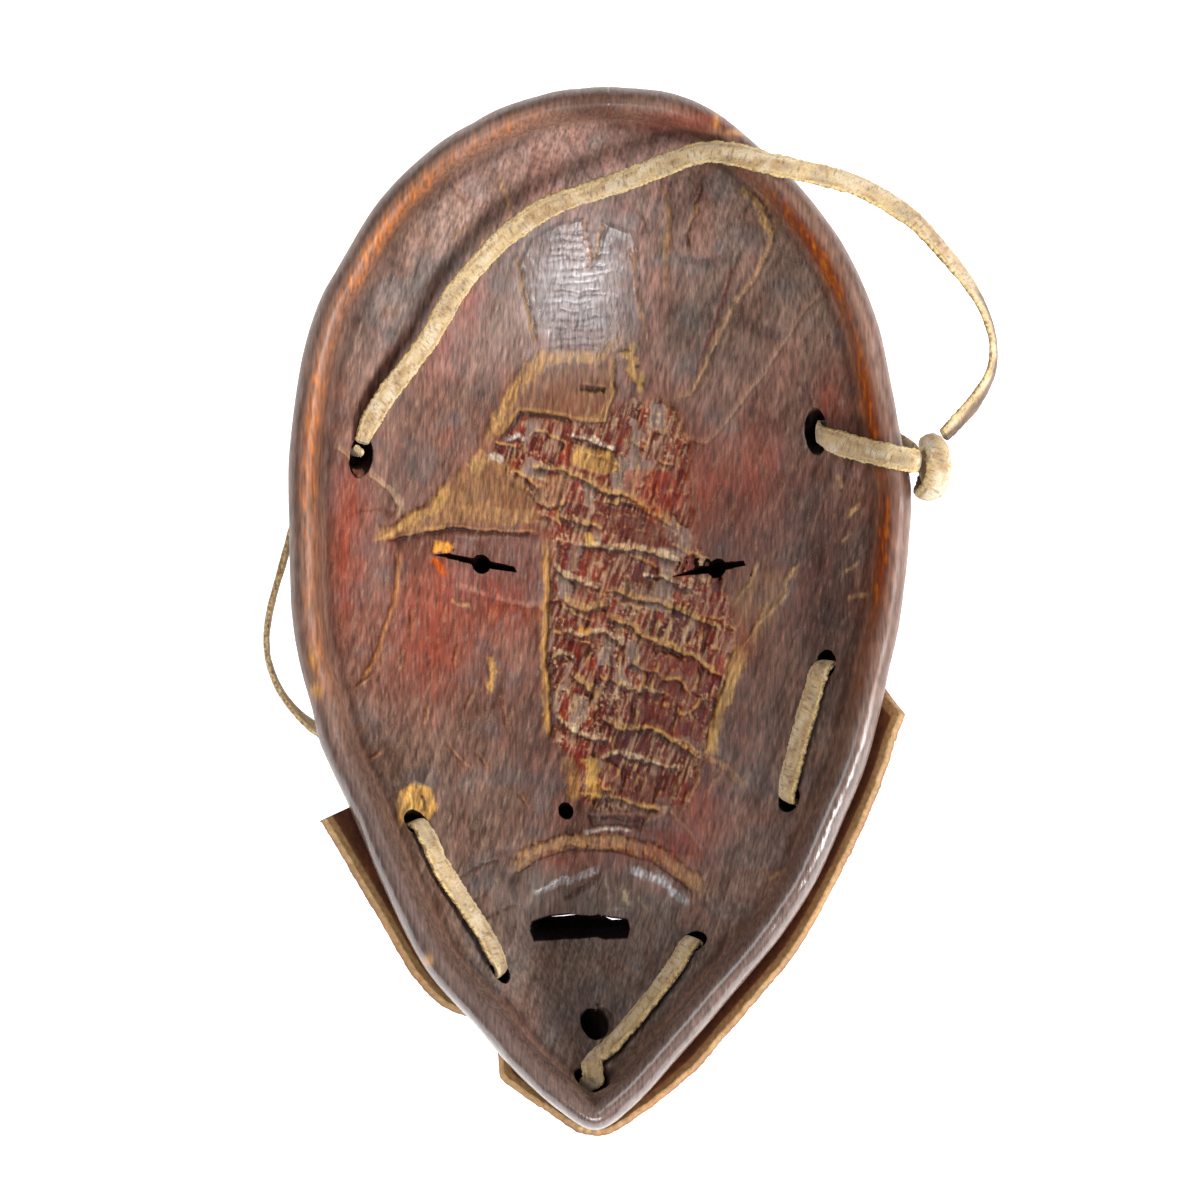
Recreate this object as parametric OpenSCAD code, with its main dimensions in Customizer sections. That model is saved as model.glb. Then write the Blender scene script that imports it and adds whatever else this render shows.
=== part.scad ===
// Carved wooden folk art mask with a rawhide beard strip, its lacing and a head strap.
// It lies face down: the hollow for the wearer's face opens along +Z, the forehead
// points along +Y and the chin along -Y. Z = 0 is the surface that it lies on.

/* [Shell] */
// Height of the rim above the lowest point of the carved face
rim_z = 70; // [66:1:74]
// Width of the rolled rim, from its outer edge to its inner foot
rim_w = 8.5; // [7.5:0.5:9.5]
// Depth of the hollow nose on the wearer's side
nose_hollow = 4; // [0:0.5:6]
// Depth of the recess behind the mouth
mouth_hollow = 8; // [6:0.5:9]
// How far the carved nose stands out of the face
nose_relief = 12; // [8:0.5:13]

/* [Openings] */
// Radius of the round peep hole in each eye slit
peep_r = 2.5; // [2:0.1:3]
// Height of the eye slits
slit_h = 1.8; // [1.2:0.1:2.4]
// Radius of the nostril hole
nostril_r = 2.2; // [1.5:0.1:2.6]
// Width of the mouth slot
mouth_w = 26.5; // [20:0.5:30]
// Height of the mouth slot
mouth_h = 7.5; // [6:0.5:9]
// Radius of the tie holes at the temples
tie_r = 4.2; // [3.8:0.1:4.8]
// Radius of the lacing holes round the jaw
lace_r = 3.4; // [3.2:0.1:3.8]
// Radius of the empty hole at the chin
chin_r = 3.2; // [2.8:0.1:3.4]

/* [Rawhide] */
// Thickness of the beard hide
hide_t = 2.2; // [1.5:0.1:2.6]
// Width of the lacing thong
lace_w = 6.0; // [4:0.2:6.4]
// Width of the head strap
strap_w = 5.6; // [4:0.2:6.4]
// Thickness of every thong
thong_t = 1.5; // [1:0.1:1.6]

/* [Hidden] */

wood = [0.36, 0.2, 0.16];
hide = [0.3, 0.17, 0.09];
raw = [0.75, 0.62, 0.42];

// ---- outline of the rim seen along Z, clockwise from the top of the forehead to the chin and back
OUTL = [[0.5, 138.5], [10, 138], [19, 136.5], [30, 131.5], [43, 120.5], [53, 110.5], [64, 95], [71.5, 78],
        [75.5, 61], [78.5, 45], [81, 32.5], [80.5, 20], [78.5, 0], [75.5, -14], [73, -26], [69, -41],
        [62.5, -56.5], [55, -73], [45, -88], [32, -103.5], [20, -117.5], [8.5, -130], [-2.5, -137],
        [-14, -130.5], [-24.5, -121], [-34, -110], [-48, -94], [-59.5, -71], [-67.5, -52], [-74.5, -37],
        [-77.5, -26], [-81, -13], [-83, 0], [-83.5, 20], [-83.5, 40.5], [-81, 62], [-77, 78], [-71, 90],
        [-59.5, 108.5], [-46, 122], [-35, 129], [-26, 133.5], [-14.5, 137], [-7, 138]];
NP = len(OUTL);

// ---- heights below the rim, as fractions of the way from the middle of the hollow to the rim's foot
Z_IN = [[0, -43.5], [0.15, -43], [0.3, -41], [0.45, -37.7], [0.6, -33], [0.75, -27], [0.86, -20.5], [0.94, -14], [1, -8]];
Z_OUT = [[0, 11.5], [0.14, 12], [0.26, 13.6], [0.38, 16.2], [0.5, 19.5], [0.62, 23.5], [0.74, 28], [0.84, 32.5], [0.93, 37.5], [1, 42]];
// the outer side of the rim: distance in from the outline, and height
WALL = [[7, 43.7], [4.2, 47], [1.8, 51.5], [0.5, 56.5], [0, 62]];
// the rolled lip: share of the rim's width, and drop from the rim's top
LIP = [[0.07, -4], [0.235, -1.2], [0.47, 0], [0.68, -0.7], [0.86, -3], [1, -8]];

function cr(a, b, c, d, f) = 0.5 * (2 * b + (c - a) * f + (2 * a - 5 * b + 4 * c - d) * f * f + (3 * b - a - 3 * c + d) * f * f * f);
function outl(u) = let (i = floor(u), f = u - i)
    cr(OUTL[(i - 1 + 2 * NP) % NP], OUTL[(i + 2 * NP) % NP], OUTL[(i + 1 + 2 * NP) % NP], OUTL[(i + 2 + 2 * NP) % NP], f);
function unit(v) = v / norm(v);
function out_dir(u) = let (t = outl(u + 0.05) - outl(u - 0.05)) unit([-t.y, t.x]);
function at(u, s, w) = let (o = outl(u), c = [-2, 0.42 * o.y], e = o - w * out_dir(u)) c + s * (e - c);
function bump(x, y, cx, cy, sx, sy) = exp(-pow((x - cx) / sx, 2) - pow((y - cy) / sy, 2));
function ease(x) = let (t = max(0, min(1, x))) t * t * (3 - 2 * t);

// ---- the carved face: how far it stands out below the plain bowl
function nose_form(x, y) = let (t = max(0, min(1, (18 - y) / 64)))
    nose_relief * (0.35 + 0.65 * t) * exp(-pow((x + 2 + t * 1.5) / (6 + 6 * t), 2)) * ease((y + 54) / 9) * ease((26 - y) / 14);
function face_form(x, y) =
    9 * bump(abs(x + 1.5), y, 26, 28, 17, 7) + 4 * bump(x, y, -1.5, 62, 42, 26)
    + 4.5 * bump(x, y, -34, 11, 13, 7) + 4.5 * bump(x, y, 30, 10, 13, 7)
    + 3 * bump(abs(x + 2), y, 38, -28, 16, 20) + 13 * bump(x, y, -5, -79, 18, 8)
    + 7 * bump(x, y, -3, -106, 14, 9) + nose_form(x, y);
// ---- the hollow nose and the recess behind the mouth, on the wearer's side
function hollow_form(x, y) = nose_hollow * bump(x, y, -1, -14, 17, 42) + mouth_hollow * bump(x, y, -7, -84, 19, 11);

function p_in(u, s) = let (p = at(u, s, rim_w)) [p.x, p.y, rim_z + lookup(s, Z_IN) - hollow_form(p.x, p.y)];
function p_out(u, s) = let (p = at(u, s, rim_w)) [p.x, p.y, max(0, lookup(s, Z_OUT) - face_form(p.x, p.y))];
function p_wall(u, w, z) = let (p = outl(u) - w * out_dir(u)) [p.x, p.y, z];
// normals: into the hollow, and away from the wood
function n_in(u, s) = let (n = cross(p_in(u + 0.05, s) - p_in(u - 0.05, s), p_in(u, s + 0.01) - p_in(u, s - 0.01))) unit(n.z > 0 ? n : -n);
function n_out(u, s) = let (n = cross(p_out(u + 0.05, s) - p_out(u - 0.05, s), p_out(u, s + 0.01) - p_out(u, s - 0.01))) unit(n.z < 0 ? n : -n);
// a point above the wearer's side, one outside the face side, and one outside the upright wall
function over(u, s, h) = p_in(u, s) + h * n_in(u, s);
function under(u, s, h) = p_out(u, s) + h * n_out(u, s);
function beside(u, w, h) = let (d = out_dir(u), a = w < 1 ? 8 : 28) p_wall(u, w, lookup(-w, [for (r = WALL) [-r[0], r[1]]])) + h * [d.x * cos(a), d.y * cos(a), -sin(a)];

// ---- holes drilled square to the wall: place on the wearer's side, and direction
HOLES = [[27.4, 0.9], [25.2, 0.9], [22.5, 0.95], [18.85, 0.855], [16, 0.89], [13.2, 0.885]];
TIE_L = [34.3, 0.865];
TIE_R = [8.4, 0.825];
CHIN = [22.4, 0.75];
function axis_of(h) = unit(n_in(h[0], h[1]) + [0, 0, 0.5]);
// a point on a hole's axis, d below the wearer's side
function down(h, d) = p_in(h[0], h[1]) - d * axis_of(h);

module drill(h, r, from = -14, to = 34) {
    a = axis_of(h);
    translate(down(h, to))
        rotate([0, acos(a.z), atan2(a.y, a.x)])
            cylinder(r = r, h = to - from, $fn = 48);
}

// ---- closed skin over rings of points that share one count, capped by strips across the first and last
module skin(rings) {
    n = len(rings[0]);
    m = len(rings);
    h = n / 2;
    faces = [
        for (k = [0:m - 2]) for (i = [0:n - 1]) let (j = (i + 1) % n) each [
            [k * n + i, (k + 1) * n + j, k * n + j],
            [k * n + i, (k + 1) * n + i, (k + 1) * n + j]],
        for (i = [1:h - 2]) each [[i, i + 1, n - i - 1], [i, n - i - 1, n - i]],
        [0, 1, n - 1], [h, n - h + 1, h - 1],
        for (i = [1:h - 2]) let (b = (m - 1) * n) each [[b + i, b + n - i - 1, b + i + 1], [b + i, b + n - i, b + n - i - 1]],
        [(m - 1) * n, (m - 1) * n + n - 1, (m - 1) * n + 1], [(m - 1) * n + h, (m - 1) * n + h - 1, (m - 1) * n + n - h + 1]];
    polyhedron(points = [for (r = rings) each r], faces = [for (f = faces) [f[0], f[2], f[1]]], convexity = 12);
}

US = [for (k = [0:2 * NP - 1]) k / 2];
S_OUT = [0.03, 0.07, 0.11, 0.16, 0.22, 0.29, 0.36, 0.43, 0.5, 0.58, 0.66, 0.74, 0.84, 0.93, 1];
S_IN = [0.94, 0.86, 0.76, 0.67, 0.59, 0.51, 0.43, 0.35, 0.27, 0.19, 0.11, 0.04];

module mask_shell() {
    color(wood)
    difference() {
        skin(concat(
            [for (s = S_OUT) [for (u = US) p_out(u, s)]],
            [for (r = WALL) [for (u = US) p_wall(u, r[0], r[1])]],
            [for (r = LIP) [for (u = US) p_wall(u, r[0] * rim_w, rim_z + r[1])]],
            [for (s = S_IN) [for (u = US) p_in(u, s)]]));
        for (h = HOLES) drill(h, lace_r);
        drill(TIE_L, tie_r);
        drill(TIE_R, tie_r);
        drill(CHIN, chin_r);
        // eye slits with their round peep holes
        translate([-33.3, 12.8, 32]) rotate([-16, 0, 0]) cylinder(r = peep_r, h = 80, center = true, $fn = 40);
        translate([-35.5, 12.8, 32]) rotate([-16, 0, -5]) cube([22, slit_h, 80], center = true);
        translate([30.2, 11.5, 32]) rotate([-16, 0, 0]) cylinder(r = peep_r, h = 80, center = true, $fn = 40);
        translate([28, 11.4, 32]) rotate([-16, 0, 3]) cube([20, slit_h, 80], center = true);
        // nostril
        translate([-10.5, -54, 27]) rotate([-20, 0, 0]) cylinder(r = nostril_r, h = 80, center = true, $fn = 32);
        // mouth slot, its outer end nearer the nose
        translate([-7.5, -85.6, 26]) rotate([6.4, 0, 0]) cube([mouth_w, mouth_h, 90], center = true);
    }
}

// ---- beard hide: inner edge on the face, and how far its upper edge flares past the rim
EDGE_S = [[12.5, 0.8], [14, 0.77], [16, 0.77], [18, 0.75], [19, 0.72], [20, 0.76], [21, 0.84], [22, 0.9], [23, 0.89], [24, 0.82], [25.2, 0.76], [27.4, 0.78], [28.5, 0.82]];
FLARE = [[12.5, -3], [13.5, -3], [14, 6.5], [14.5, 5.5], [16, 5.5], [17, 4.8], [18, 6], [20, 6], [21, 3.2], [22, 2], [23, 2.4], [24, 4.5], [24.5, -1.5], [25, -1.5], [25.5, 3], [26.5, 4.2], [27, 5.5], [28, 8.5], [28.5, 8]];
FLARE_Z = [[12.5, 49], [13.5, 49], [14, 60], [15, 58], [20, 57], [22, 55], [24, 56], [24.5, 50], [25, 50], [25.5, 56], [27, 58], [28, 61], [28.5, 61]];
HU = [for (k = [0:31]) 12.5 + k / 2];
HV = [0, 0.25, 0.5, 0.75, 1];
hide_gap = 0.5;

function hide_row(u) = concat(
    [for (v = HV) let (s = lookup(u, EDGE_S) + v * (1 - lookup(u, EDGE_S))) p_out(u, s)],
    [p_wall(u, 7, 43.7), p_wall(u, 4.2, 47)],
    [let (f = lookup(u, FLARE), z = lookup(u, FLARE_Z)) for (t = [0.45, 1]) p_wall(u, 4.2 + t * (1.9 - f - 4.2), 47 + (z - 47) * pow(t, 0.8))]);
HROWS = [for (u = HU) hide_row(u)];
HN = len(HROWS[0]);
HM = len(HROWS);
function hide_n(i, j) = let (
        a = HROWS[min(HM - 1, i + 1)][j] - HROWS[max(0, i - 1)][j],
        b = HROWS[i][min(HN - 1, j + 1)] - HROWS[i][max(0, j - 1)],
        n = unit(cross(a, b))) n.z < 0 ? n : -n;
function hide_pt(i, j, h) = HROWS[i][j] + h * hide_n(i, j);

module hide_solid() {
    q = HN * HM;
    pts = concat([for (i = [0:HM - 1]) for (j = [0:HN - 1]) hide_pt(i, j, hide_gap)],
                 [for (i = [0:HM - 1]) for (j = [0:HN - 1]) hide_pt(i, j, hide_gap + hide_t)]);
    faces = [
        for (i = [0:HM - 2]) for (j = [0:HN - 2]) let (a = i * HN + j) each [
            [a, a + HN, a + HN + 1], [a, a + HN + 1, a + 1],
            [q + a, q + a + HN + 1, q + a + HN], [q + a, q + a + 1, q + a + HN + 1]],
        for (i = [0:HM - 2]) let (a = i * HN, b = i * HN + HN - 1) each [
            [a, q + a + HN, a + HN], [a, q + a, q + a + HN],
            [b, b + HN, q + b + HN], [b, q + b + HN, q + b]],
        for (j = [0:HN - 2]) let (a = j, b = (HM - 1) * HN + j) each [
            [a, a + 1, q + a + 1], [a, q + a + 1, q + a],
            [b, q + b + 1, b + 1], [b, q + b, q + b + 1]]];
    polyhedron(points = pts, faces = [for (f = faces) [f[0], f[2], f[1]]], convexity = 8);
}

module beard_hide() {
    color(hide)
    difference() {
        hide_solid();
        for (h = HOLES) drill(h, lace_r);
    }
}

// ---- flat thong swept along a route. Each entry is a point, and the way that its flat face looks
function cr3(p, i, f) = let (n = len(p), a = p[max(0, i - 1)], b = p[i], c = p[min(n - 1, i + 1)], d = p[min(n - 1, i + 2)]) cr(a, b, c, d, f);
function smooth(p, k) = [for (i = [0:len(p) - 2]) for (f = [0:k - 1]) cr3(p, i, f / k), p[len(p) - 1]];
OVAL = [[1, 0], [0.86, 0.72], [0.45, 1], [-0.45, 1], [-0.86, 0.72], [-1, 0], [-0.86, -0.72], [-0.45, -1], [0.45, -1], [0.86, -0.72]];

module thong(route, width, k = 2) {
    pos = smooth([for (r = route) r[0]], k);
    face = smooth([for (r = route) r[1]], k);
    wid = smooth([for (r = route) is_undef(r[2]) ? 1 : r[2]], k);
    n = len(pos);
    q = len(OVAL);
    pts = [for (i = [0:n - 1]) let (
            t = unit(pos[min(n - 1, i + 1)] - pos[max(0, i - 1)]),
            x = unit(cross(t, face[i])), y = cross(x, t))
        for (o = OVAL) pos[i] + o.x * width / 2 * wid[i] * x + o.y * thong_t / 2 * (2 - wid[i]) * y];
    faces = concat(
        [for (i = [0:n - 2]) for (j = [0:q - 1]) let (a = i * q + j, b = i * q + (j + 1) % q) each [[a, b, b + q], [a, b + q, a + q]]],
        [[for (j = [0:q - 1]) q - 1 - j]], [[for (j = [0:q - 1]) (n - 1) * q + j]]);
    polyhedron(points = pts, faces = faces, convexity = 10);
}

// ways that the thong's flat face looks
function run_dir(a, b) = unit(p_in(b[0], b[1]) - p_in(a[0], a[1]));
in_hole = 0.8;
// into the hollow through hole a, along the wearer's side by way of the middle points, and out through hole b
function stitch(a, b, mids) = let (t = run_dir(a, b)) concat(
    [for (d = [19, 14, 8, 3]) [down(a, d), -t, in_hole]],
    [[down(a, 0) + 0.3 * t + 0.4 * n_in(a[0], a[1]), unit(n_in(a[0], a[1]) - t), 0.85]],
    [for (m = mids) [over(m[0], m[1], m[2]), n_in(m[0], m[1]), is_undef(m[3]) ? 1 : m[3]]],
    [[down(b, 0) - 0.3 * t + 0.4 * n_in(b[0], b[1]), unit(n_in(b[0], b[1]) + t), 0.85]],
    [for (d = [3, 8, 14, 19]) [down(b, d), t, in_hole]]);
// along the outside of the hide
lie = hide_gap + hide_t + 1.5;
function run(mids) = [for (m = mids) [under(m[0], m[1], m[2]), -n_out(m[0], m[1])]];

LACE = concat(
    run([[27.95, 0.93, lie], [27.75, 0.91, lie + 0.3]]),
    stitch(HOLES[0], HOLES[1], [[27.1, 0.9, 1.7], [26.8, 0.9, 1.7], [26.3, 0.875, 1.9], [25.75, 0.87, 1.9], [25.45, 0.89, 1.7]]),
    run([[24.8, 0.92, lie + 0.5], [24.4, 0.95, lie + 0.5], [24, 0.98, lie + 0.5], [23.4, 1, lie + 0.5]]),
    stitch(HOLES[2], HOLES[3], [[21.9, 0.92, 3.6, 0.8], [21.4, 0.9, 2.6, 0.9], [20.9, 0.9, 2], [20, 0.9, 2], [19.3, 0.89, 1.8]]),
    run([[18.3, 0.88, lie + 0.5], [17.9, 0.9, lie + 0.3], [17.2, 0.93, lie + 0.3], [16.6, 0.93, lie + 0.3]]),
    stitch(HOLES[4], HOLES[5], [[15.7, 0.885, 1.7], [15.4, 0.875, 1.7], [14.7, 0.868, 1.9], [14, 0.875, 1.8], [13.5, 0.88, 1.7]]),
    run([[12.8, 0.9, lie + 0.5], [12.4, 0.92, lie]]));

module jaw_lacing() {
    color(raw) thong(LACE, lace_w);
}

// ---- tie through the right temple hole and round the rim, both ends at the knot
RIM_TIE = concat(
    [[[82.4, 39.3, 70], [0.5, 0, 1]], [[79.6, 39.7, 71.6], [0.2, 0, 1]], [[75.8, 40.4, 71.8], [-0.1, 0, 1]], [[72.3, 41.2, 70.2], [-0.5, 0, 1]],
     [[66, 43, 62.5], [-0.7, 0, 0.7]], [[60.5, 45, 55], [-0.7, 0, 0.7]], [[57.8, 46.4, 50.6], [-0.95, 0, 0.3], 0.8]],
    [for (d = [2, 6, 10, 14]) [down(TIE_R, d), [-1, 0, 0], 0.9]],
    [[[64.2, 47.9, 32.2], [-0.7, 0, 0.7], 0.9], [[68.5, 47, 34.2], [0, 0, 1]], [[72.5, 46, 37.6], [-0.5, 0, 0.8]], [[77.3, 44.5, 43.2], [-0.8, 0, 0.5]],
     [[80.6, 42.5, 50], [-1, 0, 0.3]], [[82.5, 40.5, 56.5], [-1, 0, 0.2]], [[83.6, 39, 61.4], [-1, 0, 0.3]]]);

module rim_tie() {
    color(raw) thong(RIM_TIE, 6);
}

// ---- overhand knot outside the right edge
module strap_knot() {
    color(raw)
    translate([0, 37.6, 0]) scale([1, 1.14, 1]) translate([0, -38, 0])
    union() {
        translate([86.6, 38.4, 66]) sphere(r = 3.8, $fn = 24);
        translate([87.2, 39, 66]) rotate([90, 0, 20]) rotate_extrude($fn = 32) translate([2.6, 0]) circle(r = 2.1, $fn = 20);
        translate([86.2, 34.6, 65.3]) rotate([62, 18, 0]) rotate_extrude($fn = 32) translate([2.4, 0]) circle(r = 1.9, $fn = 20);
        translate([86.8, 41.4, 65.6]) rotate([118, 10, 30]) rotate_extrude($fn = 32) translate([1.9, 0]) circle(r = 1.8, $fn = 20);
    }
}

// ---- slack loop: through the left temple hole, out past the edge and back to the hide
SIDE_LOOP = [
    [down(TIE_L, 1.4), [0.7, 0.7, 0], in_hole], [down(TIE_L, 5), [0.7, 0.7, 0], in_hole], [down(TIE_L, 10), [0.6, 0.8, 0], in_hole], [down(TIE_L, 14), [0.5, 0.8, 0.1], in_hole],
    [[-73.6, 42.4, 34.4], [0.4, 0.7, 0.5], 0.9], [[-77, 38, 33.6], [0.6, 0.3, 0.7]], [[-80.5, 30.5, 35.5], [0.9, 0, 0.4]], [[-84, 20.5, 38], [1, 0, 0.2]],
    [[-86.8, 10.5, 40], [1, 0, 0]], [[-89.2, 2, 41], [1, 0, 0]], [[-90.4, -5.5, 41.5], [1, 0, 0]], [[-90.2, -12, 41.5], [1, 0.1, 0]],
    [[-88.5, -18, 41], [1, 0.3, 0]], [[-85.5, -23.5, 40], [1, 0.4, 0.1]], [[-81.5, -28.5, 38.5], [0.9, 0.4, 0.3]], [[-77, -35, 36.5], [0.8, 0.3, 0.5]],
    [[-73, -42, 35.5], [0.7, 0.2, 0.6]], [[-69.5, -48, 36], [0.7, 0.2, 0.6]]];

module side_loop() {
    color(raw) thong(SIDE_LOOP, 4.4);
}

// ---- head strap, from the left temple hole over the forehead's rim to the knot
STRAP = [
    [[-64.5, 45, 52.5], [0.5, 0, 1], 0.7], [[-62.6, 49.5, 53.2], [0.4, 0, 1], 0.9], [[-58.6, 56.5, 52], [0.3, -0.1, 1]], [[-53.5, 63.5, 50], [0.3, -0.2, 1]],
    [[-46.5, 73, 49], [0.3, -0.3, 1]], [[-40, 84.5, 49], [0.3, -0.3, 1]], [[-33, 93, 49.5], [0.2, -0.3, 1]], [[-26.5, 99.5, 50.5], [0.1, -0.4, 1]],
    [[-16.5, 106.5, 52.5], [0, -0.4, 1]], [[-6, 110.5, 55], [0, -0.4, 1]], [[4, 113.5, 58.5], [-0.2, -0.3, 1]], [[15.5, 117.5, 63.5], [-0.3, -0.2, 1]],
    [[26, 120.5, 69], [-0.3, -0.1, 1]], [[35, 119.5, 72], [-0.1, 0, 1]], [[42, 117.5, 72.8], [0, 0, 1]], [[49, 116, 72], [0.1, 0.1, 1]],
    [[61, 113.5, 68.5], [0.2, 0.3, 1]], [[69.5, 110.5, 66], [0.3, 0.4, 1]], [[80.5, 104, 63], [0.4, 0.4, 0.8]], [[89, 95.5, 60.5], [0.6, 0.4, 0.7]],
    [[97.5, 85, 58], [0.8, 0.4, 0.5]], [[101.8, 76, 57], [0.9, 0.2, 0.3]], [[103, 69, 57], [0.9, 0, 0.3]], [[102, 62.5, 57.8], [0.8, -0.4, 0.4]],
    [[98, 55.5, 60], [0.6, -0.5, 0.6]], [[92.6, 49.6, 63.6], [0.5, -0.5, 0.7], 0.9], [[89.4, 46.4, 65], [0.4, -0.5, 0.8], 0.8]];

module head_strap() {
    color(raw) thong(STRAP, strap_w);
}

mask_shell();
beard_hide();
jaw_lacing();
rim_tie();
strap_knot();
side_loop();
head_strap();
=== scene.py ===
import bpy
import math
import numpy as np
from mathutils import Vector, Matrix


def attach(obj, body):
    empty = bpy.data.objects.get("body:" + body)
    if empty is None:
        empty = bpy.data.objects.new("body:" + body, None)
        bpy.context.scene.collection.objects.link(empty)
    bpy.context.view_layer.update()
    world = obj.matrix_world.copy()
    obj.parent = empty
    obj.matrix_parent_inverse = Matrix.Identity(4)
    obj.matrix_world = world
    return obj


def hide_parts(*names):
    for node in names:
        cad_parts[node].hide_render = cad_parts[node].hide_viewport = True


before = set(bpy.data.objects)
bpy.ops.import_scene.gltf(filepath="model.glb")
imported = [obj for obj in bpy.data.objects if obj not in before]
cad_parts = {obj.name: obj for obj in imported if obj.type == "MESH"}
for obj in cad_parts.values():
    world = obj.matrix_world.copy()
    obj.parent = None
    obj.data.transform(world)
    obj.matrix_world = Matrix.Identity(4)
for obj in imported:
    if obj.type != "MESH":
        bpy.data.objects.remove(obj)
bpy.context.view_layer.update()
MM = 0.001

# =====================================================================================
# 1. Shared geometry: the same outline, heights, holes and routes as the design, in mm
# =====================================================================================
RIM_Z = 70.0
RIM_W = 8.5
OUTL = np.array([(0.5, 138.5), (10, 138), (19, 136.5), (30, 131.5), (43, 120.5), (53, 110.5), (64, 95), (71.5, 78),
                 (75.5, 61), (78.5, 45), (81, 32.5), (80.5, 20), (78.5, 0), (75.5, -14), (73, -26), (69, -41),
                 (62.5, -56.5), (55, -73), (45, -88), (32, -103.5), (20, -117.5), (8.5, -130), (-2.5, -137),
                 (-14, -130.5), (-24.5, -121), (-34, -110), (-48, -94), (-59.5, -71), (-67.5, -52), (-74.5, -37),
                 (-77.5, -26), (-81, -13), (-83, 0), (-83.5, 20), (-83.5, 40.5), (-81, 62), (-77, 78), (-71, 90),
                 (-59.5, 108.5), (-46, 122), (-35, 129), (-26, 133.5), (-14.5, 137), (-7, 138)], float)
NP_ = len(OUTL)
Z_IN = [(0, -43.5), (0.15, -43), (0.3, -41), (0.45, -37.7), (0.6, -33), (0.75, -27), (0.86, -20.5), (0.94, -14), (1, -8)]
Z_OUT = [(0, 11.5), (0.14, 12), (0.26, 13.6), (0.38, 16.2), (0.5, 19.5), (0.62, 23.5), (0.74, 28), (0.84, 32.5), (0.93, 37.5), (1, 42)]
WALL = [(8.5, 42), (7, 43.7), (4.2, 47), (1.8, 51.5), (0.5, 56.5), (0, 62)]
LIP = [(0, -8), (0.07, -4), (0.235, -1.2), (0.47, 0), (0.68, -0.7), (0.86, -3), (1, -8)]


def cr(a, b, c, d, f):
    return 0.5 * (2 * b + (c - a) * f + (2 * a - 5 * b + 4 * c - d) * f * f + (3 * b - a - 3 * c + d) * f ** 3)


def outl(u):
    u = np.mod(np.asarray(u, float), NP_)
    i = np.floor(u).astype(int)
    f = (u - i)[..., None]
    return cr(OUTL[(i - 1) % NP_], OUTL[i % NP_], OUTL[(i + 1) % NP_], OUTL[(i + 2) % NP_], f)


def unit(v):
    v = np.asarray(v, float)
    return v / np.maximum(np.linalg.norm(v, axis=-1, keepdims=True), 1e-12)


def out_dir(u):
    t = outl(np.asarray(u, float) + 0.05) - outl(np.asarray(u, float) - 0.05)
    return unit(np.stack([-t[..., 1], t[..., 0]], -1))


def at(u, s, w):
    o = outl(u)
    c = np.stack([np.full(o.shape[:-1], -2.0), 0.42 * o[..., 1]], -1)
    e = o - np.asarray(w)[..., None] * out_dir(u)
    return c + np.asarray(s, float)[..., None] * (e - c)


def smooth_table(rows, soft):
    """A finely sampled table whose corners are rounded over a width of about soft."""
    t = np.array(rows, float)
    lo, hi = t[0, 0], t[-1, 0]
    n = 2000
    x = np.linspace(lo, hi, n)
    y = np.interp(x, t[:, 0], t[:, 1])
    k = max(1, int(soft / (hi - lo) * n))
    pad = np.concatenate([2 * y[0] - y[k:0:-1] if rows is not Z_IN and rows is not Z_OUT else y[k:0:-1], y, 2 * y[-1] - y[-2:-k - 2:-1]])
    w = np.hanning(2 * k + 1)
    return x, np.convolve(pad, w / w.sum(), "valid")


T_IN = smooth_table(Z_IN, 0.07)
T_OUT = smooth_table(Z_OUT, 0.07)


def bump(x, y, cx, cy, sx, sy):
    return np.exp(-((x - cx) / sx) ** 2 - ((y - cy) / sy) ** 2)


def ease(x):
    t = np.clip(x, 0, 1)
    return t * t * (3 - 2 * t)


def nose_form(x, y):
    t = np.clip((18 - y) / 64, 0, 1)
    return 12 * (0.35 + 0.65 * t) * np.exp(-((x + 2 + t * 1.5) / (6 + 6 * t)) ** 2) * ease((y + 54) / 9) * ease((26 - y) / 14)


def face_form(x, y):
    return (9 * bump(np.abs(x + 1.5), y, 26, 28, 17, 7) + 4 * bump(x, y, -1.5, 62, 42, 26)
            + 4.5 * bump(x, y, -34, 11, 13, 7) + 4.5 * bump(x, y, 30, 10, 13, 7)
            + 3 * bump(np.abs(x + 2), y, 38, -28, 16, 20) + 13 * bump(x, y, -5, -79, 18, 8)
            + 7 * bump(x, y, -3, -106, 14, 9) + nose_form(x, y))


def hollow_form(x, y):
    return 4 * bump(x, y, -1, -14, 17, 42) + 8 * bump(x, y, -7, -84, 19, 11)


def p_in(u, s):
    p = at(u, s, np.full(np.shape(u), RIM_W))
    z = RIM_Z + np.interp(s, *T_IN) - hollow_form(p[..., 0], p[..., 1])
    return np.concatenate([p, z[..., None]], -1)


def p_out(u, s):
    p = at(u, s, np.full(np.shape(u), RIM_W))
    z = np.maximum(0, np.interp(s, *T_OUT) - face_form(p[..., 0], p[..., 1]))
    return np.concatenate([p, z[..., None]], -1)


def p_wall(u, w, z):
    p = outl(u) - np.asarray(w, float)[..., None] * out_dir(u)
    return np.concatenate([p, np.broadcast_to(np.asarray(z, float), p.shape[:-1])[..., None]], -1)


def n_in(u, s):
    u, s = np.asarray(u, float), np.asarray(s, float)
    n = unit(np.cross(p_in(u + 0.05, s) - p_in(u - 0.05, s), p_in(u, s + 0.01) - p_in(u, s - 0.01)))
    return n * np.where(n[..., 2:] > 0, 1, -1)


def n_out(u, s):
    u, s = np.asarray(u, float), np.asarray(s, float)
    n = unit(np.cross(p_out(u + 0.05, s) - p_out(u - 0.05, s), p_out(u, s + 0.01) - p_out(u, s - 0.01)))
    return n * np.where(n[..., 2:] < 0, 1, -1)


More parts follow.
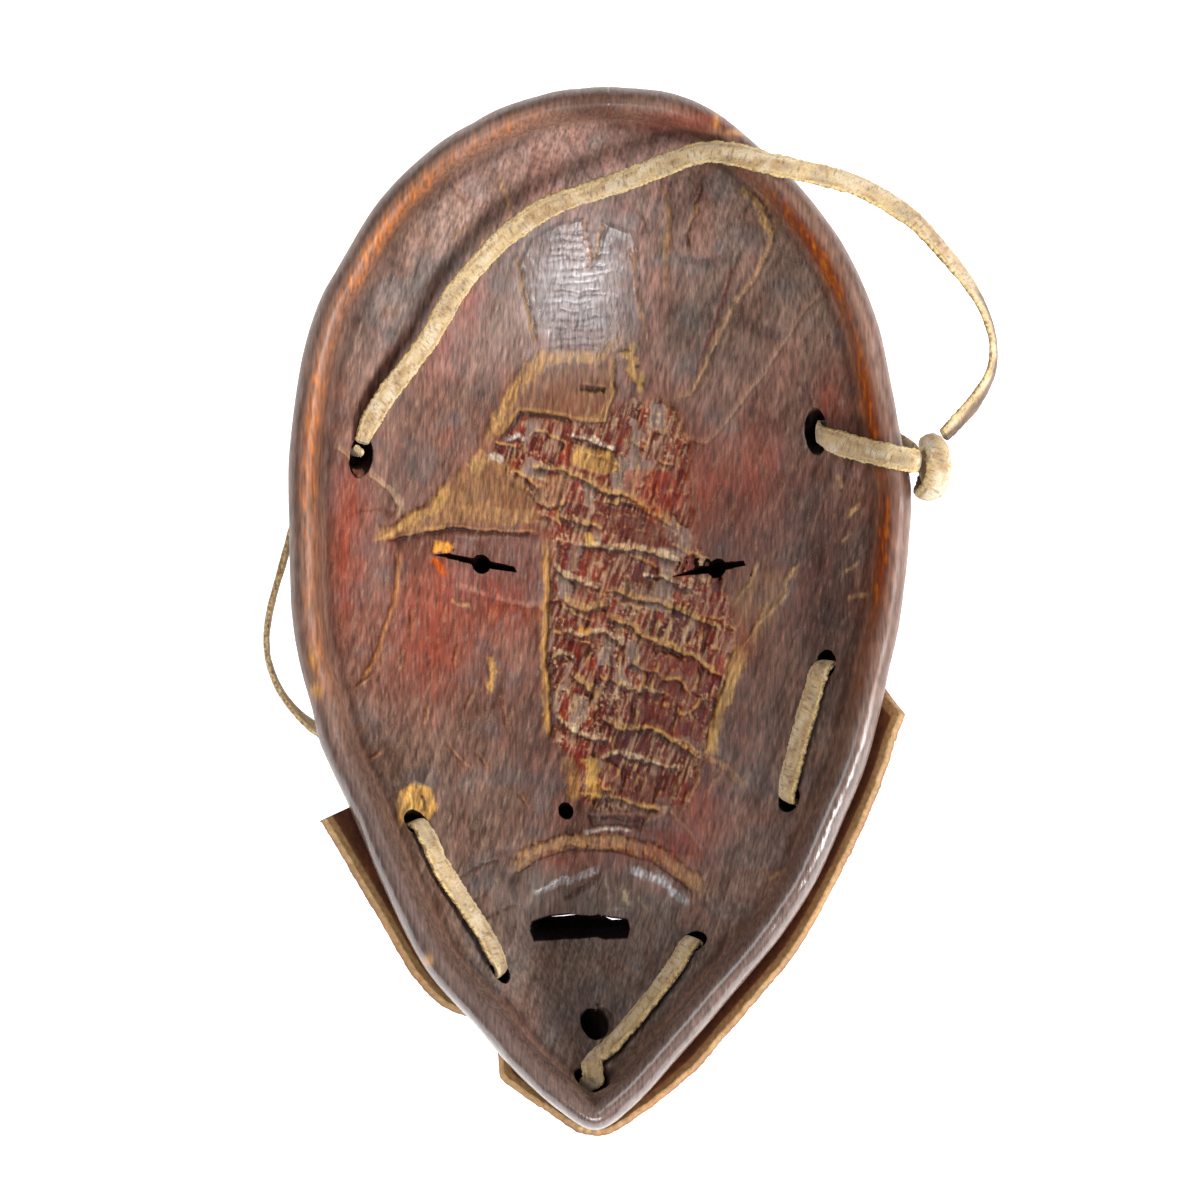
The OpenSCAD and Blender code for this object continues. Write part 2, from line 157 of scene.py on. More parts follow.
def over(u, s, h):
    u, s = np.float64(u), np.float64(s)
    return p_in(u, s) + h * n_in(u, s)


def under(u, s, h):
    u, s = np.float64(u), np.float64(s)
    return p_out(u, s) + h * n_out(u, s)


HOLES = [(27.4, 0.9), (25.2, 0.9), (22.5, 0.95), (18.85, 0.855), (16, 0.89), (13.2, 0.885)]
TIE_L = (34.3, 0.865)
TIE_R = (8.4, 0.825)
CHIN = (22.4, 0.75)


def axis_of(h):
    return unit(n_in(np.float64(h[0]), np.float64(h[1])) + np.array([0, 0, 0.5]))


def down(h, d):
    return p_in(np.float64(h[0]), np.float64(h[1])) - d * axis_of(h)


# The plan is what the camera sees, in units of 0.2625 mm at the rim, measured from the top left corner.
CAM_H = 1500.0
PLAN = 0.2625


def plan(px, py, z=70.0):
    k = PLAN * (1 + (70.0 - z) / CAM_H)
    return np.array([-1.31 + (px - 600) * k, 2.89 + (600 - py) * k])


def to_plan(x, y, z):
    k = PLAN * (1 + (70.0 - z) / CAM_H)
    return 600 + (x + 1.31) / k, 600 - (y - 2.89) / k


# =====================================================================================
# 2. Camera, and the two free thongs
# =====================================================================================
cam_data = bpy.data.cameras.new("camera")
cam_data.sensor_width = 36.0
cam_data.lens = 36.0 * CAM_H / (1200 * PLAN)
cam_data.clip_end = 20.0
camera = bpy.data.objects.new("camera", cam_data)
camera.location = (-1.31 * MM, 2.89 * MM, (RIM_Z + CAM_H) * MM)
camera.rotation_euler = (0, 0, 0)
bpy.context.collection.objects.link(camera)
bpy.context.scene.camera = camera


# ---- lattice noise, the same on every run
_LAT = {}


def lattice(seed, dims):
    if (seed, dims) not in _LAT:
        _LAT[(seed, dims)] = np.random.default_rng(seed).random((256, 256) if dims == 2 else (64, 64, 64)).astype(np.float32)
    return _LAT[(seed, dims)]


def noise2(x, y, seed=0):
    t = lattice(seed, 2)
    x, y = np.broadcast_arrays(np.asarray(x, np.float32), np.asarray(y, np.float32))
    ix, iy = np.floor(x).astype(np.int32), np.floor(y).astype(np.int32)
    fx, fy = x - ix, y - iy
    fx, fy = fx * fx * (3 - 2 * fx), fy * fy * (3 - 2 * fy)
    ix, iy = ix & 255, iy & 255
    jx, jy = (ix + 1) & 255, (iy + 1) & 255
    p = t[iy, ix]
    q = t[jy, ix]
    p = p + (t[iy, jx] - p) * fx
    q = q + (t[jy, jx] - q) * fx
    return p + (q - p) * fy


def noise3(x, y, z, seed=0):
    t = lattice(seed, 3)
    x, y, z = np.broadcast_arrays(np.asarray(x, np.float32), np.asarray(y, np.float32), np.asarray(z, np.float32))
    i = [np.floor(v).astype(np.int32) for v in (x, y, z)]
    f = [v - k for v, k in zip((x, y, z), i)]
    f = [v * v * (3 - 2 * v) for v in f]
    j = [(k + 1) & 63 for k in i]
    i = [k & 63 for k in i]

    def row(a, b):
        p = t[a, b, i[0]]
        return p + (t[a, b, j[0]] - p) * f[0]
    lo = row(i[2], i[1])
    lo = lo + (row(i[2], j[1]) - lo) * f[1]
    hi = row(j[2], i[1])
    hi = hi + (row(j[2], j[1]) - hi) * f[1]
    return lo + (hi - lo) * f[2]


def fbm2(x, y, octaves=4, seed=0, gain=0.5):
    v, a, t = 0.0, 1.0, 0.0
    for k in range(octaves):
        v = v + a * noise2(x * 2 ** k, y * 2 ** k, seed + 17 * k)
        t += a
        a *= gain
    return v / t


def fbm3(x, y, z, octaves=3, seed=0, gain=0.5):
    v, a, t = 0.0, 1.0, 0.0
    for k in range(octaves):
        v = v + a * noise3(x * 2 ** k, y * 2 ** k, z * 2 ** k, seed + 17 * k)
        t += a
        a *= gain
    return v / t


# ---- meshes
def make_mesh(name, verts, faces, smooth=True):
    me = bpy.data.meshes.new(name)
    verts = np.asarray(verts, np.float32)
    if isinstance(faces, np.ndarray):
        n, k = faces.shape
        me.vertices.add(len(verts))
        me.vertices.foreach_set("co", (verts * MM).ravel())
        me.loops.add(n * k)
        me.loops.foreach_set("vertex_index", faces.astype(np.int32).ravel())
        me.polygons.add(n)
        me.polygons.foreach_set("loop_start", np.arange(0, n * k, k, dtype=np.int32))
        me.polygons.foreach_set("loop_total", np.full(n, k, np.int32))
        me.update(calc_edges=True)
    else:
        me.from_pydata([tuple(v) for v in verts * MM], [], faces)
    me.validate()
    if smooth:
        me.polygons.foreach_set("use_smooth", np.ones(len(me.polygons), bool))
    ob = bpy.data.objects.new(name, me)
    bpy.context.collection.objects.link(ob)
    return ob


def verts_of(me):
    a = np.empty(len(me.vertices) * 3, np.float32)
    me.vertices.foreach_get("co", a)
    return a.reshape(-1, 3).astype(float) / MM


def normals_of(me):
    a = np.empty(len(me.vertices) * 3, np.float32)
    me.vertices.foreach_get("normal", a)
    return a.reshape(-1, 3).astype(float)


def put_colour(me, name, rgb):
    at_ = me.color_attributes.new(name, "FLOAT_COLOR", "POINT")
    c = np.ones((len(me.vertices), 4), np.float32)
    c[:, :3] = rgb
    at_.data.foreach_set("color", c.ravel())


def lin(rgb):
    c = np.asarray(rgb, float) / 255.0
    return np.where(c <= 0.04045, c / 12.92, ((c + 0.055) / 1.055) ** 2.4)


def mixc(base, colour, a):
    return base + (np.asarray(colour) - base) * np.asarray(a)[..., None]


def resample(points, step):
    """Catmull-Rom through the points, then even spacing. Returns positions and the place of each along the entries."""
    p = np.asarray(points, float)
    n = len(p)
    fine, where = [], []
    for i in range(n - 1):
        a, b, c, d = p[max(0, i - 1)], p[i], p[i + 1], p[min(n - 1, i + 2)]
        for f in np.linspace(0, 1, 24, endpoint=False):
            fine.append(cr(a, b, c, d, f))
            where.append(i + f)
    fine.append(p[-1])
    where.append(n - 1.0)
    fine, where = np.array(fine), np.array(where)
    L = np.concatenate([[0], np.cumsum(np.linalg.norm(np.diff(fine[:, :3], axis=0), axis=1))])
    m = max(2, int(round(L[-1] / step)) + 1)
    t = np.linspace(0, L[-1], m)
    out = np.stack([np.interp(t, L, fine[:, k]) for k in range(fine.shape[1])], -1)
    return out, np.interp(t, L, where), L[-1]


def ribbon(name, route, width, thick, seed, step=0.35, around=28, ends=(True, True), fuzz=0.16, cup=0.12, dark=None, pale=0.0, under=0.75):
    """A flat rawhide thong along a route of (point, way its flat face looks, share of its width)."""
    rows = np.array([list(r[0]) + list(r[1]) + [r[2] if len(r) > 2 and r[2] is not None else 1.0] for r in route], float)
    q, where, length = resample(rows, step)
    pos, face, wid = q[:, :3], unit(q[:, 3:6]), q[:, 6]
    tan = unit(np.gradient(pos, axis=0))
    x = unit(np.cross(tan, face))
    y = np.cross(x, tan)
    m = len(pos)
    a = np.linspace(0, 2 * np.pi, around, endpoint=False)
    # a slab with rounded edges, a little cupped
    e = 3.2
    cx = np.sign(np.cos(a)) * np.abs(np.cos(a)) ** (2 / e)
    cy = np.sign(np.sin(a)) * np.abs(np.sin(a)) ** (2 / e)
    s = np.linspace(0, length, m)
    edge = np.abs(cx)[None, :] ** 3
    side = np.sign(cx)[None, :]
    w_noise = 1 + 0.10 * (fbm2(s / 9.0, 0 * s, 3, seed) - 0.5)[:, None] * 2 + 0.05 * (fbm2(s / 2.2, 0 * s, 2, seed + 5) - 0.5)[:, None] * 2
    nib = (fbm2(s[:, None] / 0.9 + 0 * cx, side * 7.0 + cy * 0.6, 2, seed + 9) - 0.5) * 2 * fuzz * 1.6 * edge
    nib += (fbm2(s[:, None] / 0.35 + 0 * cx, side * 3.0 + cy * 1.5, 1, seed + 11) - 0.5) * 2 * fuzz * edge
    half = width / 2 * wid[:, None] * w_noise
    X = half * cx[None, :] + nib * side * -1
    t_half = thick / 2 * (2 - wid[:, None]) * (1 + 0.16 * (fbm2(s[:, None] / 5.0 + 0 * cx, cx * 1.2 + 0 * s[:, None], 3, seed + 21) - 0.5) * 2)
    fib = (fbm2(s[:, None] / 3.2 + 0 * cx, cx * half * 2.4, 3, seed + 31) - 0.5) * 2 * 0.11
    fib += (fbm2(s[:, None] / 0.8 + 0 * cx, cx * half * 3.0 + cy * 3, 2, seed + 37) - 0.5) * 2 * 0.07
    Y = t_half * cy[None, :] + fib * np.sign(cy)[None, :] - cup * (cx[None, :] ** 2) * half * 0.5
    taper = np.ones(m)
    P = pos[:, None, :] + X[..., None] * x[:, None, :] + Y[..., None] * y[:, None, :]
    verts = P.reshape(-1, 3)
    i = np.arange(m - 1)[:, None] * around
    j = np.arange(around)[None, :]
    jn = (j + 1) % around
    quads = np.stack([i + j, i + jn, i + around + jn, i + around + j], -1).reshape(-1, 4)
    faces = [tuple(f) for f in quads.tolist()]
    # rounded, torn ends
    extra = []
    for end, base, sgn in ((0, 0, -1), (1, (m - 1) * around, 1)):
        c = pos[0 if end == 0 else m - 1]
        tt = tan[0 if end == 0 else m - 1] * sgn
        ring = verts[base:base + around]
        prev = list(range(base, base + around))
        for sc, push in ((0.8, 0.35), (0.45, 0.55)):
            start = len(verts) + len(extra)
            for k in range(around):
                extra.append(c + (ring[k] - c) * sc + tt * push)
            cur = list(range(start, start + around))
            for k in range(around):
                k2 = (k + 1) % around
                faces.append((prev[k], cur[k], cur[k2], prev[k2]) if end == 1 else (prev[k], prev[k2], cur[k2], cur[k]))
            prev = cur
        start = len(verts) + len(extra)
        extra.append(c + tt * 0.62)
        for k in range(around):
            k2 = (k + 1) % around
            faces.append((prev[k], start, prev[k2]) if end == 1 else (prev[k], prev[k2], start))
    verts = np.vstack([verts, np.array(extra)])
    ob = make_mesh(name, verts, faces)
    # colours: pale buff face with darker fibres and edges
    S = np.concatenate([np.repeat(s, around), np.repeat([0, length], 2 * around + 1)])
    CX = np.concatenate([np.tile(cx, m), np.tile(cx, 2), [0], np.tile(cx, 2), [0]])
    CY = np.concatenate([np.tile(cy, m), np.tile(cy, 2), [0], np.tile(cy, 2), [0]])
    streak = fbm2(S / 7.0, CX * width * 1.3 + CY * 2, 4, seed + 41)
    blot = fbm2(S / 5.0, CX * 1.1 + CY, 3, seed + 43)
    fine = fbm2(S / 0.7, CX * width * 2.2 + CY * 4, 2, seed + 47)
    hair = fbm2(S / 0.55, CX * width * 0.8 + CY * 2, 2, seed + 51)
    col = np.tile(lin((190, 164, 122)), (len(S), 1))
    col = mixc(col, lin((150, 116, 74)), ease((streak - 0.44) * 5) * 0.7)
    col = mixc(col, lin((206, 192, 168)), ease((0.47 - blot) * 6) * (0.55 + pale))
    col = mixc(col, lin((150, 136, 116)), ease((blot - 0.55) * 6) * 0.5)
    col = mixc(col, lin((214, 186, 122)), ease((np.abs(CX) - 0.72) * 5) * ease((CY + 0.2) * 2) * (0.25 + 0.9 * hair))
    col = mixc(col, lin((112, 78, 44)), ease((np.abs(CX) - 0.86) * 8) * ease((0.52 - hair) * 6) * 0.75)
    col = mixc(col, lin((92, 60, 36)), ease((fine - 0.64) * 6) * 0.6)
    # the back face, away from the flat face, is darkened by the under setting as painted shade
    col = mixc(col, lin((104, 72, 44)), ease((-CY - 0.1) * 2) * under)
    if dark:
        k = ease((S - dark[0]) / 5.0) * ease((dark[1] - CX * dark[2]) * 2.2) * (0.55 + 0.9 * streak)
        col = mixc(col, lin((84, 56, 36)), np.clip(k, 0, 0.92))
        col = mixc(col, lin((48, 32, 26)), np.clip(ease((S - dark[0] - 8) / 4.0) * ease((blot - 0.45) * 5) * ease((0.55 - CX * dark[2]) * 3), 0, 0.8))
    put_colour(ob.data, "Col", col)
    return ob, pos, length, (S, CX, CY)


STRAP = [
    ((-64.5, 45, 52.5), (0.5, 0, 1), 0.7), ((-62.6, 49.5, 53.2), (0.4, 0, 1), 0.9), ((-58.6, 56.5, 52), (0.3, -0.1, 1)), ((-53.5, 63.5, 50), (0.3, -0.2, 1)),
    ((-46.5, 73, 49), (0.3, -0.3, 1)), ((-40, 84.5, 49), (0.3, -0.3, 1)), ((-33, 93, 49.5), (0.2, -0.3, 1)), ((-26.5, 99.5, 50.5), (0.1, -0.4, 1)),
    ((-16.5, 106.5, 52.5), (0, -0.4, 1)), ((-6, 110.5, 55), (0, -0.4, 1)), ((4, 113.5, 58.5), (-0.2, -0.3, 1)), ((15.5, 117.5, 63.5), (-0.3, -0.2, 1)),
    ((26, 120.5, 69), (-0.3, -0.1, 1)), ((35, 119.5, 72), (-0.1, 0, 1)), ((42, 117.5, 72.8), (0, 0, 1)), ((49, 116, 72), (0.1, 0.1, 1)),
    ((61, 113.5, 68.5), (0.2, 0.3, 1)), ((69.5, 110.5, 66), (0.3, 0.4, 1)), ((80.5, 104, 63), (0.4, 0.4, 0.8)), ((89, 95.5, 60.5), (0.6, 0.4, 0.7)),
    ((97.5, 85, 58), (0.8, 0.4, 0.5)), ((101.8, 76, 57), (0.9, 0.2, 0.3)), ((103, 69, 57), (0.9, 0, 0.3)), ((102, 62.5, 57.8), (0.8, -0.4, 0.4)),
    ((98, 55.5, 60), (0.6, -0.5, 0.6)), ((92.6, 49.6, 63.6), (0.5, -0.5, 0.7), 0.9), ((89.4, 46.4, 65), (0.4, -0.5, 0.8), 0.8)]
SIDE_LOOP = [
    (down(TIE_L, 1.4), (0.7, 0.7, 0), 0.8), (down(TIE_L, 5), (0.7, 0.7, 0), 0.8), (down(TIE_L, 10), (0.6, 0.8, 0), 0.8), (down(TIE_L, 14), (0.5, 0.8, 0.1), 0.8),
    ((-73.6, 42.4, 34.4), (0.4, 0.7, 0.5), 0.9), ((-77, 38, 33.6), (0.6, 0.3, 0.7)), ((-80.5, 30.5, 35.5), (0.9, 0, 0.4)), ((-84, 20.5, 38), (1, 0, 0.2)),
    ((-86.8, 10.5, 40), (1, 0, 0)), ((-89.2, 2, 41), (1, 0, 0)), ((-90.4, -5.5, 41.5), (1, 0, 0)), ((-90.2, -12, 41.5), (1, 0.1, 0)),
    ((-88.5, -18, 41), (1, 0.3, 0)), ((-85.3, -23.8, 40), (1, 0.4, 0.1)), ((-80.8, -28.9, 38.3), (0.9, 0.4, 0.3)), ((-75.4, -33.2, 36), (0.8, 0.3, 0.5)),
    ((-71.0, -38, 34.6), (0.7, 0.2, 0.6)), ((-68.6, -43, 34.4), (0.7, 0.2, 0.6)), ((-68.0, -48.2, 35), (0.7, 0.2, 0.6))]

strap, strap_path, strap_len, _ = ribbon("head_strap_thong", STRAP, 5.8, 1.5, 11, dark=(212, 0.5, 1.0))
loop, loop_path, loop_len, _ = ribbon("side_loop_thong", SIDE_LOOP, 4.4, 1.7, 23, under=0.1)

# =====================================================================================
# 3. The wooden shell
# =====================================================================================
N = 1700
R_IN = 270
R_OUT = 130

W = 1200
ys, xs = np.mgrid[0:W, 0:W].astype(np.float32)
WX = ((fbm2(xs / 17, ys / 17, 2, 101) - 0.5) * 7 + (fbm2(xs / 4.5, ys / 4.5, 2, 103) - 0.5) * 2.6).astype(np.float32)
WY = ((fbm2(xs / 17, ys / 17, 2, 105) - 0.5) * 7 + (fbm2(xs / 4.5, ys / 4.5, 2, 107) - 0.5) * 2.6).astype(np.float32)
RAG = fbm2(xs / 6, ys / 6, 3, 109)
FP = xs * 0.95 + ys * 0.31
FA = -xs * 0.31 + ys * 0.95
FIB = fbm2(FP / 2.1, FA / 15, 3, 111)
FIB2 = fbm2(FP / 5.5, FA / 40, 3, 113)
VERT = fbm2(xs / 3.2, ys / 45, 3, 115)
BLOT = fbm2(xs / 34, ys / 46, 4, 117)
SPECK = fbm2(xs / 2.2, ys / 2.6, 2, 119)
H = np.zeros((W, W), np.float32)
G = np.full((W, W), 0.47, np.float32)


def blur(a, r):
    fy, fx = np.fft.fftfreq(W)[:, None], np.fft.rfftfreq(W)[None, :]
    return np.fft.irfft2(np.fft.rfft2(a) * np.exp(-2 * (np.pi * r) ** 2 * (fx ** 2 + fy ** 2)), s=(W, W)).astype(np.float32)


def field(pts, pad, wob=1.0):
    """Distance from a drawn line, the place along it (0 to 1) and the side of it (+1 right-hand side as drawn)."""
    p = np.array(pts, float)
    x0, y0 = np.maximum(0, np.floor(p.min(0) - pad)).astype(int)
    x1, y1 = np.minimum(W, np.ceil(p.max(0) + pad)).astype(int)
    sl = (slice(y0, y1), slice(x0, x1))
    X, Y = xs[sl] + WX[sl] * wob, ys[sl] + WY[sl] * wob
    best = np.full(X.shape, 1e9)
    T, S = np.zeros(X.shape), np.ones(X.shape)
    seg = np.linalg.norm(np.diff(p, axis=0), axis=1)
    L = np.concatenate([[0], np.cumsum(seg)])
    for i in range(len(p) - 1):
        a, ab = p[i], p[i + 1] - p[i]
        t = np.clip(((X - a[0]) * ab[0] + (Y - a[1]) * ab[1]) / (ab @ ab), 0, 1)
        dx, dy = X - (a[0] + t * ab[0]), Y - (a[1] + t * ab[1])
        d = np.hypot(dx, dy)
        m = d < best
        best = np.where(m, d, best)
        T = np.where(m, (L[i] + t * seg[i]) / L[-1], T)
        S = np.where(m, np.where(ab[0] * dy - ab[1] * dx > 0, 1, -1), S)
    return sl, best, T, S


def ends(T, taper):
    return ease(T / taper) * ease((1 - T) / taper) if taper else 1.0


PAINT = []


def paint(sl, colour, m):
    PAINT.append((sl, lin(colour).astype(np.float32), np.clip(m, 0, 1).astype(np.float32)))


def ridge(pts, width, h=0.0, colour=None, a=0.8, gloss=None, wob=1.0, taper=0.12, ragged=0.7):
    sl, d, T, S = field(pts, width + 8, wob)
    w = width / 2 * (1 + ragged * (RAG[sl] - 0.5) * 2)
    m = np.clip(1.25 - (d / w) ** 2, 0, 1) * ends(T, taper)
    H[sl] += h * m
    if colour:
        paint(sl, colour, m * a * (0.45 + 0.75 * ease((FIB[sl] - 0.38) * 5)) * (0.6 + 0.5 * ease((SPECK[sl] - 0.35) * 5)))
    if gloss:
        G[sl] += (gloss - G[sl]) * m


def step(pts, drop, fall, lip=None, lip_w=4.0, a=0.8, dark=0.5, wob=1.0, taper=0.1, side=1, shade_w=5.0, broken=False):
    """The wood drops sharply on one side of the line and comes back slowly. A painted shadow darkens the low side just
    below the edge, and a pale crest colour can be laid along the high side.
    """
    sl, d, T, S = field(pts, fall * 2.5 + 10, wob)
    sd = d * S * side
    e = ends(T, taper)
    H[sl] -= drop * ease((sd + 1.0) / 2.0) * np.exp(-np.maximum(sd, 0) / fall) * e
    if lip:
        w = lip_w * (0.15 + 1.5 * RAG[sl])
        gap = (0.25 + 0.9 * ease((FIB[sl] - 0.40) * 6)) * (0.4 + 0.8 * ease((SPECK[sl] - 0.35) * 5)) if broken else 0.55 + 0.6 * ease((FIB[sl] - 0.4) * 5)
        paint(sl, lip, ease((w - np.abs(sd + lip_w * 0.35)) / (w * 0.6)) * e * a * gap)
    # painted shadow: dark red-brown on the low side just below the edge
    if dark:
        paint(sl, (38, 16, 10), ease((sd) / 1.5) * ease((shade_w - sd) / shade_w) * e * dark)


def inside(poly, soft=2.0, wob=1.0, pad=14):
    p = np.array(poly, float)
    sl, d, T, S = field(list(poly) + [poly[0]], pad, wob)
    X, Y = xs[sl] + WX[sl] * wob, ys[sl] + WY[sl] * wob
    c = np.zeros(X.shape, bool)
    for (ax, ay), (bx, by) in zip(p, np.roll(p, -1, 0)):
        if ay != by:
            c ^= ((ay > Y) != (by > Y)) & (X < (bx - ax) * (Y - ay) / (by - ay) + ax)
    return sl, ease(np.where(c, d, -d) / (2 * soft) + 0.5)


def facet(poly, off=0.0, gx=0.0, gy=0.0, soft=1.2, wob=0.7, gloss=None, tint=None, a=0.5):
    """A flat left by one stroke of the adze; its heights in mm across its width and height."""
    sl, m = inside(poly, soft, wob)
    p = np.array(poly, float)
    c, size = p.mean(0), np.ptp(p, axis=0)
    H[sl] += m * (off + gx * (xs[sl] - c[0]) / size[0] + gy * (ys[sl] - c[1]) / size[1])
    if gloss is not None:
        G[sl] += (gloss - G[sl]) * m
    if tint:
        paint(sl, tint, m * a * (0.5 + 0.7 * ease((FIB[sl] - 0.36) * 4)) * (0.65 + 0.45 * SPECK[sl]))
    return sl, m


def cells(cp, cq, ang, amp, seed, jit=1.0):
    """A field of slightly tilted flats, as crossing chisel strokes leave."""
    c, s_ = math.cos(math.radians(ang)), math.sin(math.radians(ang))
    p = (xs * c + ys * s_ + WX * jit * 1.6) / cp
    q = (-xs * s_ + ys * c + WY * jit * 1.6) / cq
    iq = np.floor(q).astype(int)
    p = p + lattice(seed, 2)[iq & 255, 7] * 3
    ip = np.floor(p).astype(int)
    t0, t1, t2 = (lattice(seed + k, 2)[iq & 255, ip & 255] for k in range(3))
    return amp * ((t0 - 0.5) + (t1 - 0.35) * (p - ip - 0.5) + (t2 - 0.2) * 1.3 * (q - iq - 0.5)), t0


TAN, PALE, RED, DEEP, ORANGE, GREY = (186, 146, 98), (204, 182, 150), (148, 58, 34), (96, 24, 12), (204, 122, 44), (128, 120, 116)

# -- overall adze flats and grain
c1, r1 = cells(74, 58, 62, 0.30, 201)
H += blur(c1.astype(np.float32), 1.6)
H += (FIB - 0.5) * 0.10 + (VERT - 0.5) * 0.06 + (BLOT - 0.5) * 0.5

# -- the rough trough down the middle
TROUGH = [(495, 441), (520, 419), (560, 420), (600, 422), (622, 402), (650, 395), (672, 405), (690, 440), (690, 500), (700, 545), (730, 600), (738, 640), (724, 680),
          (704, 756), (690, 796), (660, 812), (600, 812), (580, 790), (574, 762), (556, 742), (549, 650), (547, 540), (530, 505), (500, 468)]
tsl, tm = inside(TROUGH, 5.0, 1.5, 20)
TM = np.zeros((W, W), np.float32)
TM[tsl] = tm
c2, r2 = cells(30, 25, 24, 1.15, 211)
c3, r3 = cells(13, 30, 6, 0.55, 221)
H += TM * (blur(c2.astype(np.float32), 0.8) + blur(c3.astype(np.float32), 0.7) + (FIB - 0.5) * 0.5 - 0.25)
G += TM * 0.02

CRESTS = [([(525, 465), (560, 470), (600, 487), (625, 497), (652, 512)], 1.0, 16, TAN, 7), ([(600, 499), (625, 503), (648, 512), (674, 527)], 0.8, 14, TAN, 6),
          ([(575, 545), (610, 549), (640, 549), (682, 562)], 0.8, 14, PALE, 6), ([(553, 562), (575, 583), (602, 588)], 0.7, 12, PALE, 5),
          ([(600, 590), (650, 600), (702, 620), (722, 634)], 0.8, 15, TAN, 6), ([(560, 628), (585, 634), (605, 632), (630, 646)], 0.8, 14, PALE, 5),
          ([(602, 612), (650, 638), (682, 652), (712, 670), (724, 677)], 0.9, 16, TAN, 7), ([(615, 682), (640, 690), (668, 690)], 0.7, 12, PALE, 4),
          ([(556, 656), (577, 656)], 0.6, 9, PALE, 5), ([(570, 671), (582, 680), (597, 697)], 0.7, 10, TAN, 6),
          ([(598, 714), (620, 730), (648, 727), (676, 743), (703, 759)], 0.9, 16, TAN, 7), ([(555, 712), (580, 735), (612, 742)], 0.7, 12, PALE, 5),
          ([(596, 757), (618, 752), (650, 760), (684, 770)], 0.5, 12, PALE, 4), ([(582, 792), (620, 800), (662, 812)], 0.6, 10, TAN, 5),
          # the two near-white lips in the next row are painted highlights
          ([(505, 441), (517, 437), (528, 443)], 0.6, 8, (232, 226, 220), 5), ([(568, 437), (584, 441), (600, 446), (614, 450)], 0.6, 9, (226, 214, 190), 5),
          ([(560, 512), (580, 522), (604, 530)], 0.5, 10, TAN, 4), ([(640, 575), (670, 580), (695, 590)], 0.5, 10, PALE, 4),
          ([(628, 664), (655, 672), (690, 690)], 0.5, 12, (170, 120, 90), 3), ([(560, 600), (585, 606), (610, 604)], 0.5, 10, TAN, 5)]
# each crest: a drop with a pale broken lip and a painted shadow below it
for pts, drop, fall, c, lw in CRESTS:
    step(pts, drop * 1.15, fall, lip=c, lip_w=lw * 0.9, a=0.85, dark=0.8, wob=1.25, shade_w=10, broken=True)
# upright splits between the cuts
SPLITS = [((628, 575), (622, 606)), ((640, 640), (634, 668)), ((612, 640), (606, 700)), ((620, 645), (616, 708)), ((597, 668), (590, 700)), ((660, 655), (650, 690)),
          ((678, 700), (668, 735)), ((610, 760), (600, 790)), ((625, 758), (618, 796)), ((645, 768), (640, 800)), ((662, 770), (650, 806)), ((680, 770), (668, 806)),
          ((590, 440), (582, 462)), ((640, 455), (630, 500)), ((655, 480), (648, 510)), ((668, 505), (660, 540)), ((610, 380), (602, 422)), ((590, 385), (586, 418)),
          ((565, 470), (560, 500)), ((690, 610), (680, 650)), ((706, 620), (700, 655)), ((575, 690), (572, 715)), ((596, 738), (592, 762)), ((640, 600), (632, 630)),
          ((655, 605), (648, 636)), ((672, 612), (664, 642)), ((560, 540), (556, 566)), ((615, 530), (606, 548)), ((635, 700), (628, 725))]
for k, (a_, b_) in enumerate(SPLITS):
    ridge([a_, ((a_[0] + b_[0]) / 2 + 1, (a_[1] + b_[1]) / 2), b_], 4.5, 0.4 if k % 2 else -0.55, (176, 150, 124) if k % 2 else (60, 18, 10), 0.7, wob=0.5, taper=0.25)

# -- walls and ledges round the trough
step([(549, 742), (548, 700), (546, 650), (548, 600), (547, 534)], 1.3, 26, lip=(190, 140, 80), lip_w=6, dark=0.7, wob=0.5, shade_w=8)
step([(497, 441), (518, 412), (545, 414), (575, 420)], 1.6, 14, lip=(120, 80, 44), lip_w=4, dark=0.95, wob=0.6, shade_w=8)
step([(575, 421), (604, 421), (612, 396), (616, 352)], 1.0, 14, lip=TAN, lip_w=6, dark=0.6, wob=0.6)
step([(616, 352), (632, 350), (636, 372), (646, 392)], 0.8, 12, lip=TAN, lip_w=7, dark=0.4, wob=0.6, side=-1)
facet([(500, 432), (520, 380), (545, 352), (600, 350), (618, 352), (612, 392), (600, 420), (575, 419), (540, 412), (518, 411)], 0.5, 0.2, 0.5, 2.5, 0.8, gloss=0.6, tint=(122, 86, 62), a=0.7)
ridge([(486, 446), (499, 416), (518, 384), (545, 355), (595, 356), (614, 342), (632, 332)], 15, 0.5, (176, 134, 84), 0.75, wob=0.8, ragged=0.6)
ridge([(630, 340), (634, 368), (642, 390)], 11, 0.4, (184, 146, 90), 0.7, wob=1.2)
ridge([(579, 385), (606, 390)], 7, -0.9, (58, 20, 12), 0.8, wob=0.8)
step([(738, 640), (726, 678), (713, 712), (703, 756)], 0.9, 12, lip=(192, 152, 96), lip_w=11, dark=0.55, wob=0.6, side=1)
ridge([(704, 757), (728, 766), (746, 786)], 8, 0.35, (166, 128, 96), 0.7)
ridge([(702, 766), (690, 790), (680, 812)], 6, 0.35, (150, 118, 96), 0.7)
ridge([(720, 776), (706, 798)], 5, 0.3, (150, 118, 96), 0.6)
ridge([(588, 755), (590, 775), (596, 800)], 15, 0.5, (208, 162, 84), 0.9, wob=0.8, ragged=0.9)
ridge([(566, 755), (572, 780), (578, 800)], 17, 0.1, (176, 128, 74), 0.6, wob=1.0)
ridge([(588, 536), (592, 544)], 9, 0.3, (224, 178, 96), 0.95, taper=0)
ridge([(583, 628), (588, 633)], 7, 0.2, (216, 150, 70), 0.9, taper=0)
